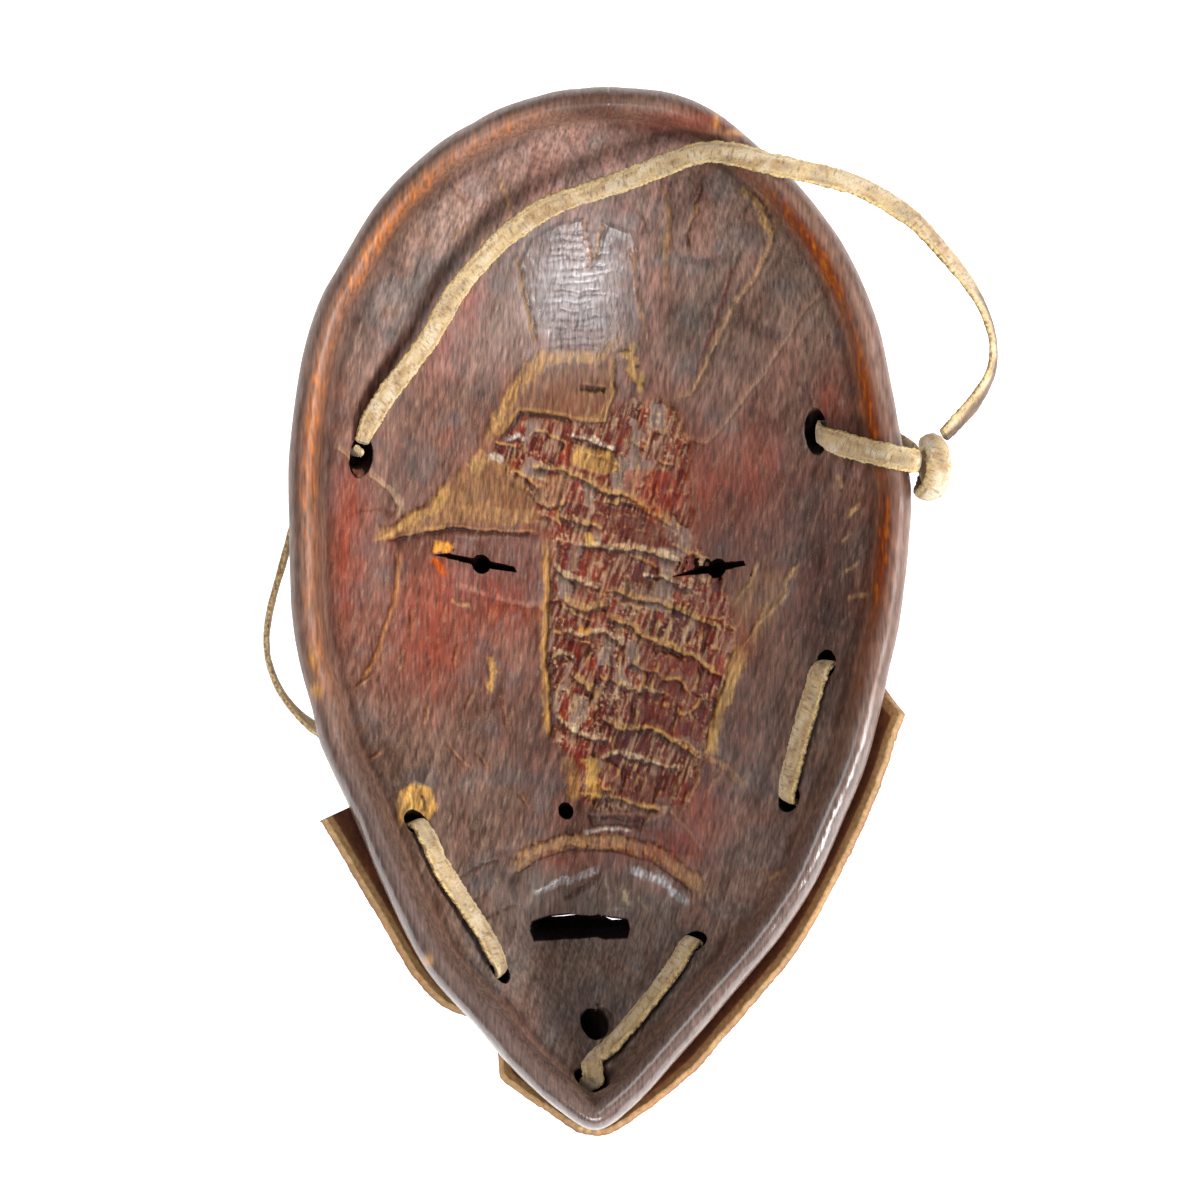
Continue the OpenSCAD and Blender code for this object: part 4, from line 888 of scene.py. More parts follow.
def shell_mesh():
    half = N // 2
    ur = np.linspace(0.0, 22.0, half + 1)
    side = np.linspace(44.0, 22.0, 6001)
    yl = np.minimum.accumulate(outl(side)[:, 1] - np.arange(6001) * 1e-9)
    ul = np.interp(-outl(ur)[:, 1], -yl, side)
    u = np.concatenate([ur, ul[1:-1][::-1]])
    rings = []
    s_out = np.linspace(0.006, 1, R_OUT)
    for s in s_out:
        rings.append(("out", p_out(u, np.full(N, s))))
    # outer wall and lip, sampled along a smooth profile
    prof = [(w, z) for w, z in WALL] + [(a * RIM_W, RIM_Z + b) for a, b in LIP[1:]]
    prof = np.array(prof)
    dense, _, _ = resample(np.c_[prof, np.zeros(len(prof))], 0.45)
    for w, z, _0 in dense[1:-1]:
        rings.append(("lip", p_wall(u, np.full(N, w), z)))
    s_in = np.linspace(1, 0.006, R_IN)
    for s in s_in:
        rings.append(("in", p_in(u, np.full(N, s))))
    m = len(rings)
    P = np.stack([r[1] for r in rings])
    kind = np.array([{"out": 0, "lip": 1, "in": 2}[r[0]] for r in rings])
    # relief
    for k in range(m):
        x, y, z = P[k, :, 0], P[k, :, 1], P[k, :, 2]
        if kind[k] == 2:
            s = s_in[k - (m - R_IN)]
            px, py = to_plan(x, y, z)
            P[k, :, 2] += sample(HS, px, py) * ease((1.0 - s) / 0.05)
        elif kind[k] == 0:
            h = sample(HF, 600 + (x + 1.31) / PLAN, 600 - (y - 2.89) / PLAN) * ease((1.0 - s_out[k]) / 0.08)
            P[k, :, 2] = np.maximum(np.minimum(z, 0.0) * 0, z - h - 0.0)
        elif kind[k] == 1:
            n = out_dir(u)
            q = 0.55 * (fbm2(np.cos(u / NP_ * 2 * np.pi) * 8 + 9, np.sin(u / NP_ * 2 * np.pi) * 8 + 9 + z / 9.0, 3, 51) - 0.5) * 2 + 0.10 * (fbm3(x / 1.5, y / 3.0, z / 1.5, 2, 53) - 0.5) * 2
            P[k, :, 0] += n[:, 0] * q * 0.35 - n[:, 0] * 0.2
            P[k, :, 1] += n[:, 1] * q * 0.35 - n[:, 1] * 0.2
            P[k, :, 2] += np.minimum(q, 0.25) * ease((z - 60) / 8) - 0.1
    verts = P.reshape(-1, 3)
    i = (np.arange(m - 1) * N)[:, None]
    j = np.arange(N)[None, :]
    jn = (j + 1) % N
    quads = np.stack([i + j, i + jn, i + N + jn, i + N + j], -1).reshape(-1, 4)
    h = N // 2
    k = np.arange(1, h - 1)
    base = (m - 1) * N
    cap0 = np.stack([k, N - k, N - k - 1, k + 1], -1)
    cap1 = np.stack([base + k, base + k + 1, base + N - k - 1, base + N - k], -1)
    faces = np.vstack([quads, cap0, cap1]).tolist()
    faces += [(0, N - 1, 1), (h, h - 1, h + 1), (base, base + 1, base + N - 1), (base + h, base + h + 1, base + h - 1)]
    vol = sum(float(np.einsum("ij,ij->i", verts[[f[0] for f in part]], np.cross(verts[[f[1] for f in part]], verts[[f[2] for f in part]])).sum()
                    + (np.einsum("ij,ij->i", verts[[f[0] for f in part]], np.cross(verts[[f[2] for f in part]], verts[[f[3] for f in part]])).sum() if len(part[0]) == 4 else 0))
              for part in (faces[:-4], faces[-4:]))
    print("SHELL volume", vol / 6)
    return verts, [f[::-1] for f in faces] if vol < 0 else faces


sv, sf = shell_mesh()
shell = make_mesh("mask_shell_wood", sv, sf)


def tube_cutter(name, h, r, seed, flare=1.2, squash=(1.0, 1.0), shift=(0.0, 0.0), frm=-16, to=30, wob=0.10, bend=(0.0, 0.0)):
    """An irregular tube on a hole's axis, wider where it opens into the hollow."""
    a = axis_of(h)
    ref = np.array([0, 1.0, 0])
    ex = unit(np.cross(ref, a))
    ey = np.cross(a, ex)
    t = np.linspace(0, 2 * np.pi, 72, endpoint=False)
    ds = np.concatenate([[frm, -6], np.linspace(-3, 3.5, 14), np.linspace(5, to, 10)])
    rows = []
    for d in ds:
        rr = r * (1 + wob * (fbm2(np.cos(t) * 1.3 + 5, np.sin(t) * 1.3 + d * 0.05, 2, seed) - 0.5) * 2)
        k = ease((3.6 - d) / 3.6)
        rr = rr + flare * ease((2.2 - d) / 3.2)
        c = down(h, d) + k * (shift[0] * ex + shift[1] * ey) + max(0.0, d - 2.0) * np.array([bend[0], bend[1], 0.0])
        rows.append(c + (np.cos(t) * rr * (1 + (squash[0] - 1) * k))[:, None] * ex + (np.sin(t) * rr * (1 + (squash[1] - 1) * k))[:, None] * ey)
    P = np.stack(rows)
    m, n = P.shape[:2]
    V = P.reshape(-1, 3)
    F = []
    for i in range(m - 1):
        for j in range(n):
            j2 = (j + 1) % n
            F.append((i * n + j, (i + 1) * n + j, (i + 1) * n + j2, i * n + j2))
    F.append(tuple(range(n)))
    F.append(tuple((m - 1) * n + j for j in reversed(range(n))))
    return make_mesh(name, V, F, smooth=False)


def prism_cutter(name, outline, z0, z1, lean=(0.0, 0.0), z_ref=30.0):
    """An upright prism whose sides lean, cut through the wood."""
    o = np.array(outline, float)
    if (o[:, 0] * np.roll(o[:, 1], -1) - np.roll(o[:, 0], -1) * o[:, 1]).sum() < 0:
        o = o[::-1]
    n = len(o)
    zs = np.concatenate([[z0], np.arange(1.0, 46.0, 0.9), [z1]])
    V = [(p[0] + lean[0] * (z - z_ref), p[1] + lean[1] * (z - z_ref), z) for z in zs for p in o]
    m = len(zs)
    F = [tuple(range(n))[::-1], tuple(range((m - 1) * n, m * n))]
    for k in range(m - 1):
        for i in range(n):
            j = (i + 1) % n
            F.append((k * n + i, k * n + j, (k + 1) * n + j, (k + 1) * n + i))
    return make_mesh(name, V, F, smooth=False)


def blob(cx, cy, rx, ry, n=40, seed=1, wob=0.06):
    t = np.linspace(0, 2 * np.pi, n, endpoint=False)
    r = 1 + wob * (fbm2(np.cos(t) * 1.5 + 3, np.sin(t) * 1.5 + 3, 2, seed) - 0.5) * 2
    return [(cx + rx * r[k] * math.cos(t[k]), cy + ry * r[k] * math.sin(t[k])) for k in range(n)]


# the mouth slot: its corners where the camera sees them on the wearer's side, carried along its leaning walls to one height
MOUTH_LEAN = (-0.12, -0.25)
ug_, sg_ = np.meshgrid(np.linspace(10, 34, 600), np.linspace(0.15, 0.95, 400))
mg_ = p_in(ug_.ravel(), sg_.ravel())
mx_, my_ = to_plan(mg_[:, 0], mg_[:, 1], mg_[:, 2])
MOUTH = []
for qx, qy in ((533, 922), (548, 917), (568, 915), (590, 916), (612, 918), (627, 920), (629, 928), (627, 937), (605, 938), (580, 937), (555, 938), (535, 939), (532, 930)):
    q_ = mg_[np.argmin((mx_ - qx) ** 2 + (my_ - qy) ** 2)]
    MOUTH.append((q_[0] - MOUTH_LEAN[0] * (q_[2] - 25), q_[1] - MOUTH_LEAN[1] * (q_[2] - 25)))

cutters = [
    tube_cutter("c1", HOLES[0], 3.3, 1, 0.3, (1.3, 0.95), (0, 0.6)), tube_cutter("c2", HOLES[1], 3.1, 2, 0.2, (0.95, 1.2)), tube_cutter("c3", HOLES[2], 3.4, 3, 0.5, (1.4, 1.15)),
    tube_cutter("c4", HOLES[3], 3.3, 4, 0.4, (1.35, 0.9)), tube_cutter("c5", HOLES[4], 3.2, 5, 0.7, (1.15, 1.0)), tube_cutter("c6", HOLES[5], 3.3, 6, 0.3, (1.0, 1.05)),
    tube_cutter("c7", TIE_L, 4.0, 7, 0.4, (1.0, 1.35), (0.2, -1.6)), tube_cutter("c8", TIE_R, 3.9, 8, 0.6, (0.85, 1.45)), tube_cutter("c9", CHIN, 3.2, 9, 0.6, (1.1, 1.4), (0, 0.3), bend=(-0.12, -0.6)),
    prism_cutter("e1", [(-45.8, 13.7), (-39, 12.9), (-36, 12.5), (-30, 11.6), (-23.6, 11.4), (-24.5, 12.9), (-30.5, 13.7), (-37, 14.2), (-42, 14.6)], -5, 60, (0, 0.287), 32),
    prism_cutter("e2", [(18.3, 10.6), (25, 10.4), (31, 10.5), (37.8, 11.4), (37.2, 12.6), (31, 12.8), (25, 12.3)], -5, 60, (0, 0.287), 32),
    prism_cutter("e3", blob(-33.3, 12.8, 2.5, 2.6, seed=3), -5, 60, (0, 0.287), 32), prism_cutter("e4", blob(30.2, 11.5, 2.4, 2.5, seed=4), -5, 60, (0, 0.287), 32),
    prism_cutter("n1", blob(-10.5, -54.0, 2.0, 2.4, seed=5), -5, 60, (0, 0.40), 27),
    prism_cutter("m1", MOUTH, -5, 60, lean=MOUTH_LEAN, z_ref=25.0),
]


def joined(name, obs):
    V, F, k = [], [], 0
    for o in obs:
        V.append(verts_of(o.data))
        F += [tuple(k + i for i in p.vertices) for p in o.data.polygons]
        k += len(o.data.vertices)
    return make_mesh(name, np.vstack(V), F, smooth=False)


def cut(ob, tools):
    for k, c in enumerate(tools):
        md = ob.modifiers.new(f"b{k}", "BOOLEAN")
        md.operation = "DIFFERENCE"
        md.object = c
        md.solver = "MANIFOLD"
    dg = bpy.context.evaluated_depsgraph_get()
    me = bpy.data.meshes.new_from_object(ob.evaluated_get(dg), depsgraph=dg)
    ob.modifiers.clear()
    old = ob.data
    ob.data = me
    bpy.data.meshes.remove(old)
    me.polygons.foreach_set("use_smooth", np.ones(len(me.polygons), bool))


both = [joined("cut_a", [cutters[k] for k in (0, 1, 2, 3, 4, 5, 6, 7, 8, 9, 10, 13, 14)]), joined("cut_b", cutters[11:13])]
lacing_cut = joined("cut_c", cutters[:6])
cut(shell, both)

# =====================================================================================
# 4. The hide
# =====================================================================================
EDGE_S = [(12.5, 0.8), (14, 0.77), (16, 0.77), (18, 0.75), (19, 0.72), (20, 0.76), (21, 0.84), (22, 0.9), (23, 0.89), (24, 0.82), (25.2, 0.76), (27.4, 0.78), (28.5, 0.82)]
FLARE = [(12.5, -3), (13.5, -3), (14, 6.5), (14.5, 5.5), (16, 5.5), (17, 4.8), (18, 6), (20, 6), (21, 3.2), (22, 2), (23, 2.4), (24, 4.5), (24.5, -1.5), (25, -1.5), (25.5, 3), (26.5, 4.2), (27, 5.5), (28, 8.5), (28.5, 8)]
FLARE_Z = [(12.5, 49), (13.5, 49), (14, 60), (15, 58), (20, 57), (22, 55), (24, 56), (24.5, 50), (25, 50), (25.5, 56), (27, 58), (28, 61), (28.5, 61)]
HIDE_GAP, HIDE_T = 0.5, 2.2


def tab(rows, u):
    t = np.array(rows, float)
    return np.interp(u, t[:, 0], t[:, 1])


def hide_mesh():
    nu, nv = ((520, 90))
    U = np.linspace(12.5, 28.0, nu)
    rows = []
    for u in U:
        es = tab(EDGE_S, u)
        f, zt = tab(FLARE, u), tab(FLARE_Z, u)
        a = [p_out(np.float64(u), np.float64(es + v * (1 - es))) for v in (0, 0.25, 0.5, 0.75, 1)]
        a += [p_wall(np.float64(u), np.float64(7), 43.7), p_wall(np.float64(u), np.float64(4.2), 47)]
        a += [p_wall(np.float64(u), np.float64(4.2 + t * (1.9 - f - 4.2)), 47 + (zt - 47) * t ** 0.8) for t in (0.45, 1)]
        q, _, L = resample(np.array(a), 0.4)
        t = np.linspace(0, 1, len(q))
        rows.append(np.stack([np.interp(np.linspace(0, 1, nv), t, q[:, k]) for k in range(3)], -1))
    B = np.stack(rows)
    du = np.gradient(B, axis=0)
    dv = np.gradient(B, axis=1)
    n = unit(np.cross(du, dv))
    n = n * np.where(n[..., 2:] < 0, 1, -1)
    v = np.linspace(0, 1, nv)[None, :]
    uu = U[:, None]
    wave = 0.35 * (fbm2(uu * 1.7 + 0 * v, v * 3 + 0 * uu, 3, 71) - 0.5) * 2
    inner = B + n * (HIDE_GAP + np.abs(wave) * 0.4)[..., None]
    outer = B + n * (HIDE_GAP + HIDE_T + wave * 0.6)[..., None]
    # a frayed outer edge
    fray = 0.35 * (fbm2(U * 9.0, 0 * U, 3, 73) - 0.5) * 2 + 0.2 * (fbm2(U * 40.0, 0 * U, 2, 75) - 0.5) * 2
    dirv = unit(dv)
    k = ease((v - 0.93) / 0.07)
    inner = inner + dirv * (fray[:, None] * k)[..., None]
    outer = outer + dirv * (fray[:, None] * k)[..., None]
    V = np.vstack([inner.reshape(-1, 3), outer.reshape(-1, 3)])
    q = nu * nv
    i = (np.arange(nu - 1) * nv)[:, None]
    j = np.arange(nv - 1)[None, :]
    A = np.stack([i + j, i + nv + j, i + nv + j + 1, i + j + 1], -1).reshape(-1, 4)
    Bq = np.stack([q + i + j, q + i + j + 1, q + i + nv + j + 1, q + i + nv + j], -1).reshape(-1, 4)
    a = np.arange(nu - 1) * nv
    E1 = np.stack([a, q + a, q + a + nv, a + nv], -1)
    b = a + nv - 1
    E2 = np.stack([b, b + nv, q + b + nv, q + b], -1)
    c = np.arange(nv - 1)
    E3 = np.stack([c, c + 1, q + c + 1, q + c], -1)
    d = (nu - 1) * nv + c
    E4 = np.stack([d, q + d, q + d + 1, d + 1], -1)
    F = np.vstack([A, Bq, E1, E2, E3, E4])
    side = np.concatenate([np.zeros(q), np.ones(q)])
    vv = np.tile(np.broadcast_to(v, (nu, nv)).ravel(), 2)
    return V, F, side, vv, B


hv, hf, hside, hvv, hbase = hide_mesh()
hide = make_mesh("beard_hide_strip", hv, hf)
cut(hide, [lacing_cut])
for c in cutters + both + [lacing_cut]:
    bpy.data.objects.remove(c)

# =====================================================================================
# 5. Lacing, rim tie, knot
# =====================================================================================


def run_dir(a, b):
    return unit(p_in(np.float64(b[0]), np.float64(b[1])) - p_in(np.float64(a[0]), np.float64(a[1])))


def stitch(a, b, mids):
    t = run_dir(a, b)
    na, nb = n_in(np.float64(a[0]), np.float64(a[1])), n_in(np.float64(b[0]), np.float64(b[1]))
    out = [(down(a, d), -t, 0.8) for d in (19, 14, 8, 3)]
    out.append((down(a, 0) + 0.3 * t + 0.4 * na, unit(na - t), 0.85))
    out += [(over(m[0], m[1], m[2]), n_in(np.float64(m[0]), np.float64(m[1])), m[3] if len(m) > 3 else 1.0) for m in mids]
    out.append((down(b, 0) - 0.3 * t + 0.4 * nb, unit(nb + t), 0.85))
    out += [(down(b, d), t, 0.8) for d in (3, 8, 14, 19)]
    return out


LIE = HIDE_GAP + HIDE_T + 1.5


def run(mids):
    return [(under(m[0], m[1], m[2]), -n_out(np.float64(m[0]), np.float64(m[1])), 1.0) for m in mids]


LACE = (run([(27.95, 0.93, LIE), (27.75, 0.91, LIE + 0.3)])
        + stitch(HOLES[0], HOLES[1], [(27.1, 0.9, 1.7), (26.8, 0.9, 1.7), (26.3, 0.875, 1.9), (25.75, 0.87, 1.9), (25.45, 0.89, 1.7)])
        + run([(24.8, 0.92, LIE + 0.5), (24.4, 0.95, LIE + 0.5), (24, 0.98, LIE + 0.5), (23.4, 1, LIE + 0.5)])
        + stitch(HOLES[2], HOLES[3], [(21.9, 0.92, 3.6, 0.8), (21.4, 0.9, 2.6, 0.9), (20.9, 0.9, 2), (20, 0.9, 2), (19.3, 0.89, 1.8)])
        + run([(18.3, 0.88, LIE + 0.5), (17.9, 0.9, LIE + 0.3), (17.2, 0.93, LIE + 0.3), (16.6, 0.93, LIE + 0.3)])
        + stitch(HOLES[4], HOLES[5], [(15.7, 0.885, 1.7), (15.4, 0.875, 1.7), (14.7, 0.868, 1.9), (14, 0.875, 1.8), (13.5, 0.88, 1.7)])
        + run([(12.8, 0.9, LIE + 0.5), (12.4, 0.92, LIE)]))
lace, lace_path, lace_len, _ = ribbon("jaw_lacing_thong", LACE, 6.9, 1.4, 37, cup=0.05, fuzz=0.22)

RIM_TIE = ([((82.4, 39.3, 70), (0.5, 0, 1)), ((79.6, 39.7, 71.6), (0.2, 0, 1)), ((75.8, 40.4, 71.8), (-0.1, 0, 1)), ((72.3, 41.2, 70.2), (-0.5, 0, 1)),
            ((66, 43, 62.5), (-0.7, 0, 0.7)), ((60.5, 45, 55), (-0.7, 0, 0.7)), ((57.8, 46.4, 50.6), (-0.95, 0, 0.3), 0.8)]
           + [(down(TIE_R, d), (-1, 0, 0), 0.9) for d in (2, 6, 10, 14)]
           + [((64.2, 47.9, 32.2), (-0.7, 0, 0.7), 0.9), ((68.5, 47, 34.2), (0, 0, 1)), ((72.5, 46, 37.6), (-0.5, 0, 0.8)), ((77.3, 44.5, 43.2), (-0.8, 0, 0.5)),
              ((80.6, 42.5, 50), (-1, 0, 0.3)), ((82.5, 40.5, 56.5), (-1, 0, 0.2)), ((83.6, 39, 61.4), (-1, 0, 0.3))])
tie, tie_path, tie_len, _ = ribbon("rim_tie_thong", RIM_TIE, 6.4, 1.5, 53, pale=0.3)

KNOT = [((83.6, 44.2, 63.8), (-0.4, 0.6, 0.7), 0.8), ((85.6, 44.9, 66.2), (-0.1, 0.5, 0.9), 0.9), ((87.4, 42.8, 68.6), (0.25, 0.25, 1)), ((88.0, 38.6, 69.6), (0.3, 0.05, 1), 1.05),
        ((87.4, 34.4, 69.2), (0.25, -0.15, 1), 1.05), ((85.8, 31.2, 67.4), (0.05, -0.6, 0.8)), ((84.2, 30.2, 64.6), (-0.2, -1, 0.1), 0.9), ((84.4, 31.8, 61.9), (-0.1, -0.5, -1), 0.9),
        ((86.4, 36.0, 61.2), (0, 0, -1)), ((87.4, 40.6, 62.2), (0.1, 0.2, -1), 0.9), ((86.2, 42.8, 64.0), (0.2, 0.8, -0.4), 0.8)]
knot, _kp, _kl, _ = ribbon("strap_knot_thong", KNOT, 6.3, 1.9, 61, cup=0.55, pale=0.4)


def ball(name, c, r, seed):
    n, m = 48, 28
    th = np.linspace(0, 2 * np.pi, n, endpoint=False)
    ph = np.linspace(0.06, np.pi - 0.06, m)
    d = np.stack([np.cos(th)[None, :] * np.sin(ph)[:, None], np.sin(th)[None, :] * np.sin(ph)[:, None], np.cos(ph)[:, None] + 0 * th[None, :]], -1)
    k = 1 + 0.16 * (fbm3(d[..., 0] * 2 + 5, d[..., 1] * 2 + 5, d[..., 2] * 2 + 5, 3, seed) - 0.5) * 2
    V = (np.array(c) + d * k[..., None] * np.array(r)).reshape(-1, 3)
    i = (np.arange(m - 1) * n)[:, None]
    j = np.arange(n)[None, :]
    F = np.stack([i + j, i + n + j, i + n + (j + 1) % n, i + (j + 1) % n], -1).reshape(-1, 4).tolist()
    F += [tuple(range(n)), tuple((m - 1) * n + k_ for k_ in reversed(range(n)))]
    o = make_mesh(name, V, F)
    b_ = fbm3(V[:, 0] / 2, V[:, 1] / 2, V[:, 2] / 2, 3, seed + 3)
    put_colour(o.data, "Col", mixc(np.tile(lin((176, 146, 100)), (len(V), 1)), lin((92, 62, 38)), ease((b_ - 0.42) * 5) * 0.8))
    return o


knot_core = ball("strap_knot_core", (86.2, 37.8, 65.2), (3.7, 6.2, 3.6), 65)

# =====================================================================================
# 6. Materials
# =====================================================================================


def material(name):
    m = bpy.data.materials.new(name)
    m.use_nodes = True
    nt = m.node_tree
    p = next(n for n in nt.nodes if n.type == "BSDF_PRINCIPLED")
    return m, nt, p


def node(nt, kind, **kw):
    n = nt.nodes.new(kind)
    for k, v in kw.items():
        setattr(n, k, v)
    return n


def wood_material():
    m, nt, p = material("carved_wood")
    sp = node(nt, "ShaderNodeAttribute", attribute_name="Shine")
    nt.links.new(sp.outputs["Fac"], p.inputs["Specular IOR Level"])
    col = node(nt, "ShaderNodeAttribute", attribute_name="Col")
    gl = node(nt, "ShaderNodeAttribute", attribute_name="Gloss")
    tc = node(nt, "ShaderNodeTexCoord")
    mp = node(nt, "ShaderNodeMapping")
    mp.inputs["Rotation"].default_value = (0, 0, math.radians(18))
    mp.inputs["Scale"].default_value = (1500, 190, 700)
    nt.links.new(tc.outputs["Object"], mp.inputs["Vector"])
    grain = node(nt, "ShaderNodeTexNoise")
    grain.inputs["Scale"].default_value = 1.0
    grain.inputs["Detail"].default_value = 6.0
    nt.links.new(mp.outputs["Vector"], grain.inputs["Vector"])
    ramp = node(nt, "ShaderNodeMapRange")
    ramp.inputs["From Min"].default_value = 0.3
    ramp.inputs["From Max"].default_value = 0.7
    ramp.inputs["To Min"].default_value = 0.55
    ramp.inputs["To Max"].default_value = 1.5
    nt.links.new(grain.outputs["Fac"], ramp.inputs["Value"])
    mul = node(nt, "ShaderNodeVectorMath", operation="SCALE")
    nt.links.new(col.outputs["Color"], mul.inputs[0])
    nt.links.new(ramp.outputs["Result"], mul.inputs["Scale"])
    nt.links.new(mul.outputs["Vector"], p.inputs["Base Color"])
    nt.links.new(gl.outputs["Fac"], p.inputs["Roughness"])
    bump_n = node(nt, "ShaderNodeBump")
    bump_n.inputs["Strength"].default_value = 0.35
    bump_n.inputs["Distance"].default_value = 0.0003
    nt.links.new(grain.outputs["Fac"], bump_n.inputs["Height"])
    nt.links.new(bump_n.outputs["Normal"], p.inputs["Normal"])
    return m


def hide_material(name, rough=0.75, scale=1800):
    m, nt, p = material(name)
    col = node(nt, "ShaderNodeAttribute", attribute_name="Col")
    tc = node(nt, "ShaderNodeTexCoord")
    n1 = node(nt, "ShaderNodeTexNoise")
    n1.inputs["Scale"].default_value = scale
    n1.inputs["Detail"].default_value = 4.0
    nt.links.new(tc.outputs["Object"], n1.inputs["Vector"])
    ramp = node(nt, "ShaderNodeMapRange")
    ramp.inputs["From Min"].default_value = 0.3
    ramp.inputs["From Max"].default_value = 0.7
    ramp.inputs["To Min"].default_value = 0.78
    ramp.inputs["To Max"].default_value = 1.2
    nt.links.new(n1.outputs["Fac"], ramp.inputs["Value"])
    mul = node(nt, "ShaderNodeVectorMath", operation="SCALE")
    nt.links.new(col.outputs["Color"], mul.inputs[0])
    nt.links.new(ramp.outputs["Result"], mul.inputs["Scale"])
    nt.links.new(mul.outputs["Vector"], p.inputs["Base Color"])
    p.inputs["Roughness"].default_value = rough
    bump_n = node(nt, "ShaderNodeBump")
    bump_n.inputs["Strength"].default_value = 0.5
    bump_n.inputs["Distance"].default_value = 0.0003
    nt.links.new(n1.outputs["Fac"], bump_n.inputs["Height"])
    nt.links.new(bump_n.outputs["Normal"], p.inputs["Normal"])
    return m


wood_mat = wood_material()
raw_mat = hide_material("rawhide_thong", 0.85, 2200)
hide_mat = hide_material("beard_hide", 0.7, 900)
raw_mat.node_tree.nodes["Principled BSDF"].inputs["Sheen Weight"].default_value = 0.25

# ---- colours of the shell
me = shell.data
co = verts_of(me)
nr = normals_of(me)
px, py = to_plan(co[:, 0], co[:, 1], co[:, 2])
inner = ease((nr[:, 2] + 0.15) / 0.3)
col_in = sample(C, px, py)
g_in = sample(G, px, py)
sh_in = sample(SH, px, py)
o1 = fbm3(co[:, 0] / 16, co[:, 1] / 22, co[:, 2] / 16, 4, 151)
o2 = fbm3(co[:, 0] / 1.3, co[:, 1] / 11, co[:, 2] / 1.3, 3, 153)
col_out = lin((104, 66, 48)) * (0.55 + 0.9 * o1[:, None]) * (0.7 + 0.6 * o2[:, None])
col_f = sample(CF, 600 + (co[:, 0] + 1.31) / PLAN, 600 - (co[:, 1] - 2.89) / PLAN)
col_out = col_out + (col_f - col_out) * (ease((-nr[:, 2] - 0.1) / 0.3) * 0.85)[:, None]
col_out = mixc(col_out, lin((46, 26, 20)), ease((o1 - 0.5) * 5) * 0.4)
g_out = 0.30 + 0.25 * o2
rimside = ease((co[:, 2] - 50) / 10)
col_out = mixc(col_out, lin((128, 94, 76)), rimside * 0.5)
col = col_out + (col_in - col_out) * inner[:, None]
gl = g_out + (g_in - g_out) * inner
sh = 0.5 + (sh_in - 0.5) * inner
# painted shade: the walls of the lacing, tie and chin holes are painted near black, with no shine
for h, r in zip(HOLES + [TIE_L, TIE_R, CHIN], (3.3, 3.1, 3.4, 3.3, 3.2, 3.3, 4.2, 4.2, 3.3)):
    a0 = axis_of(h)
    o0 = p_in(np.float64(h[0]), np.float64(h[1]))
    rel = co - o0
    dep = -(rel @ a0)
    rad = np.linalg.norm(rel + dep[:, None] * a0, axis=1)
    m = ease((r * 1.5 + 1.6 - rad) / 0.6) * ease((dep + 0.4) / 1.6) * (nr @ a0 < 0.75)
    col = mixc(col, lin((11, 8, 8)), m * 0.95)
    gl = gl + (0.7 - gl) * m
    sh = sh * (1 - m)
# painted shade: the walls of the eye slits and nostril are painted near black, with no shine
for cx_, cy_, rx_, ry_, lean_, z0_, top_ in ((-34.5, 12.8, 12.5, 3.2, 0.287, 32, 31), (28.2, 11.4, 11, 3.2, 0.287, 32, 31), (-10.5, -54, 2.5, 3.0, 0.40, 27, 24)):
    yc = cy_ + lean_ * (co[:, 2] - z0_)
    m = ease((1.06 - np.maximum(np.abs(co[:, 0] - cx_) / rx_, np.abs(co[:, 1] - yc) / ry_)) / 0.06) * (np.abs(nr[:, 2]) < 0.82) * (co[:, 2] < top_ + 6) * (co[:, 2] > 2)
    col = mixc(col, lin((9, 7, 7)), m * 0.97)
    gl = gl + (0.8 - gl) * m
    sh = sh * (1 - m)
# painted shade: the walls of the mouth slot are painted near black, with no shine
mxy = co[:, :2] - np.array(MOUTH_LEAN) * (co[:, 2:3] - 25)
near = np.full(len(co), 99.0)
for a_, b_ in zip(np.array(MOUTH), np.roll(np.array(MOUTH), -1, axis=0)):
    t_ = np.clip(((mxy - a_) @ (b_ - a_)) / ((b_ - a_) @ (b_ - a_)), 0, 1)
    near = np.minimum(near, np.linalg.norm(mxy - a_ - t_[:, None] * (b_ - a_), axis=1))
m = ease((0.5 - near) / 0.2) * (np.abs(nr[:, 2]) < 0.82) * (co[:, 2] > 2)
col = mixc(col, lin((9, 7, 7)), m * 0.97)
gl = gl + (0.8 - gl) * m
sh = sh * (1 - m)
put_colour(me, "Col", np.clip(col, 0.002, 0.9))
put_colour(me, "Shine", np.repeat(np.clip(sh, 0.0, 1.0)[:, None], 3, 1))
put_colour(me, "Gloss", np.repeat(np.clip(gl, 0.12, 0.95)[:, None], 3, 1))

me = hide.data
co = verts_of(me)
px, py = to_plan(co[:, 0], co[:, 1], co[:, 2])
b1 = fbm3(co[:, 0] / 7, co[:, 1] / 7, co[:, 2] / 7, 4, 161)
b2 = fbm3(co[:, 0] / 1.2, co[:, 1] / 1.2, co[:, 2] / 1.2, 3, 163)
col = lin((96, 54, 32)) * (0.5 + 1.0 * b1[:, None]) * (0.6 + 0.8 * b2[:, None])
col = mixc(col, lin((150, 92, 44)), ease((b1 - 0.5) * 5) * 0.5)
from mathutils import kdtree
edge = hbase[:, -1]
tree = kdtree.KDTree(len(edge))
for i, q in enumerate(edge):
    tree.insert(Vector(q), i)
tree.balance()
de = np.array([tree.find(Vector(q))[2] for q in co])
f1 = fbm3(co[:, 0] / 0.8, co[:, 1] / 0.8, co[:, 2] / 0.8, 2, 167)
col = mixc(col, lin((150, 96, 52)), ease((4.5 - de) / 3.0) * (0.3 + 0.6 * b1))
col = mixc(col, lin((192, 158, 108)), ease((2.9 - de) / 0.7) * (0.35 + 0.9 * f1))
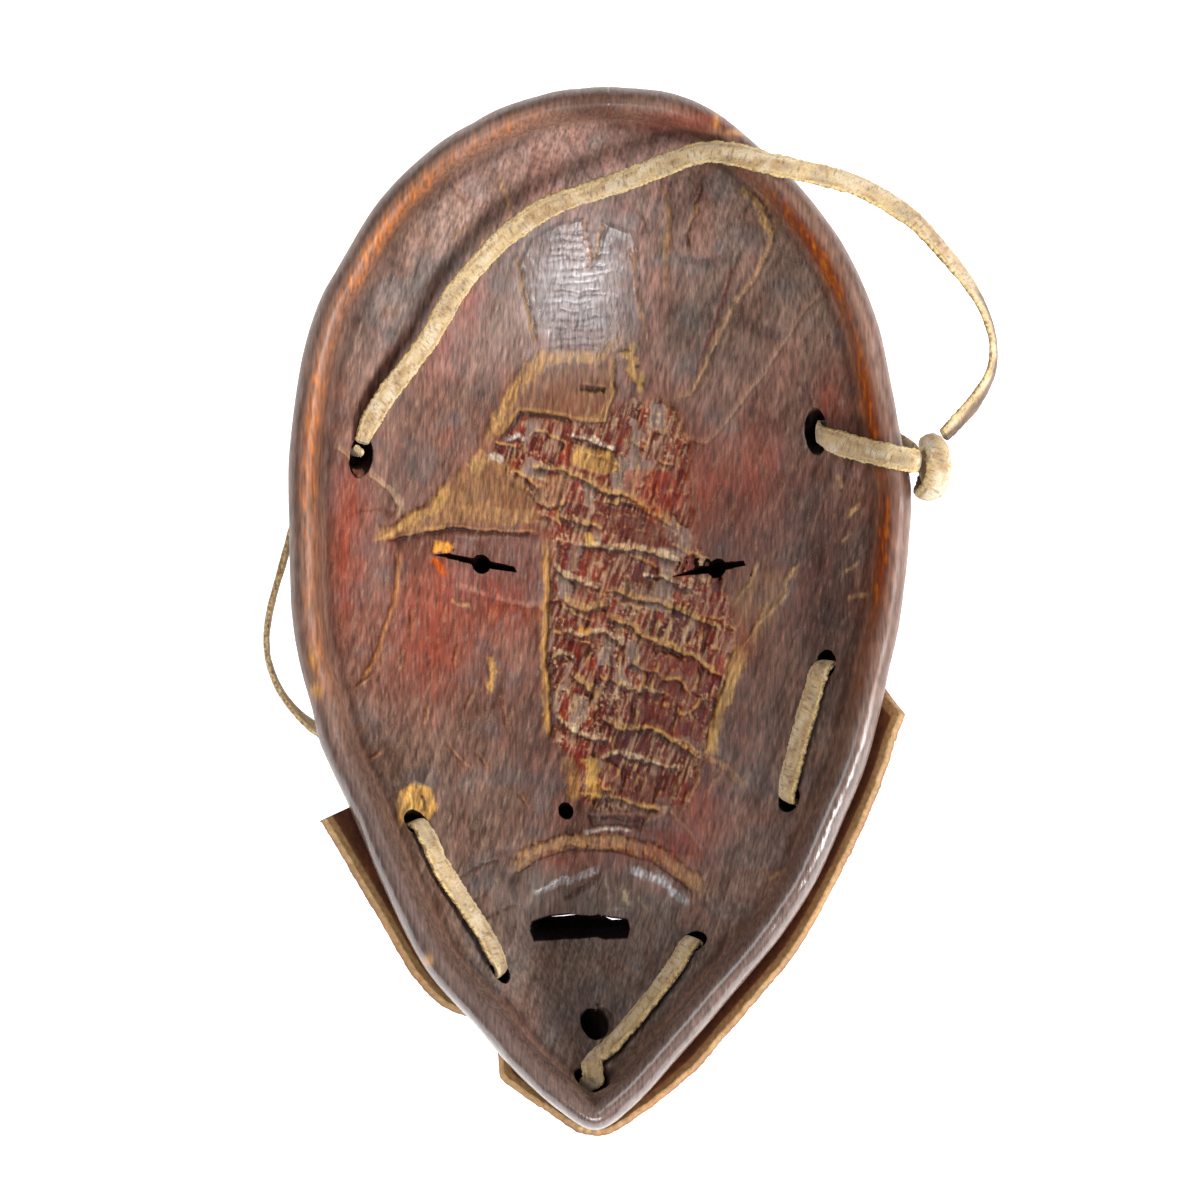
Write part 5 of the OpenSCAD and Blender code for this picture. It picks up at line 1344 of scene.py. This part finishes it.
# darker away from the free edge, towards the rim: painted shade close to the rim
col = mixc(col, lin((40, 22, 14)), ease((de - 6) / 5) * 0.35)
# near black round the chin hole through the hide: painted shade in the hole
a0 = axis_of(CHIN)
rel = co - p_in(np.float64(CHIN[0]), np.float64(CHIN[1]))
col = mixc(col, lin((8, 6, 6)), ease((9 - np.linalg.norm(rel - (rel @ a0)[:, None] * a0, axis=1)) / 3))
put_colour(me, "Col", col)

for ob, m in ((shell, wood_mat), (hide, hide_mat), (strap, raw_mat), (loop, raw_mat), (lace, raw_mat), (tie, raw_mat), (knot, raw_mat), (knot_core, raw_mat)):
    ob.data.materials.clear()
    ob.data.materials.append(m)

# =====================================================================================
# 7. Stage and light
# =====================================================================================
bpy.ops.mesh.primitive_plane_add(size=6, location=(0, 0, -0.0003))
floor = bpy.context.object
floor.name = "floor"
fm, fnt, fp = material("pale_floor")
fp.inputs["Base Color"].default_value = (0.9, 0.9, 0.9, 1)
fp.inputs["Roughness"].default_value = 0.9
fp.inputs["Specular IOR Level"].default_value = 0.1
fp.inputs["Emission Color"].default_value = (1, 1, 1, 1)
fp.inputs["Emission Strength"].default_value = 0.72
floor.data.materials.append(fm)

world = bpy.data.worlds.new("world")
bpy.context.scene.world = world
world.use_nodes = True
world.node_tree.nodes["Background"].inputs["Color"].default_value = (1, 1, 1, 1)
world.node_tree.nodes["Background"].inputs["Strength"].default_value = 0.34


def area(name, loc, target, size, power, size_y=None):
    d = bpy.data.lights.new(name, "AREA")
    d.shape = "RECTANGLE"
    d.size = size
    d.size_y = size_y or size
    d.energy = power
    o = bpy.data.objects.new(name, d)
    o.location = loc
    v = Vector(target) - Vector(loc)
    o.rotation_euler = v.to_track_quat("-Z", "Y").to_euler()
    bpy.context.collection.objects.link(o)
    return o


area("key", (1.75, -0.35, 0.95), (0, 0, 0.03), 0.8, 54)
area("gloss", (0.0, -1.3, 1.1), (0, 0.03, 0.03), 0.8, 15, 0.5)
area("fill", (-0.9, 0.5, 1.5), (0, 0, 0), 1.2, 14)
bpy.context.scene.view_settings.view_transform = "Standard"

# =====================================================================================
# 8. Where each piece belongs
# =====================================================================================
for ob in (shell, hide, lace, tie, knot, knot_core, loop):
    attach(ob, "mask")
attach(strap, "strap")
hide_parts("mask_shell")
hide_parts("beard_hide")
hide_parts("jaw_lacing")
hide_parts("rim_tie")
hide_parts("strap_knot")
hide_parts("strap_knot")
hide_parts("side_loop")
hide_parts("head_strap")

print("LENGTHS strap %.1f loop %.1f lace %.1f tie %.1f" % (strap_len, loop_len, lace_len, tie_len))
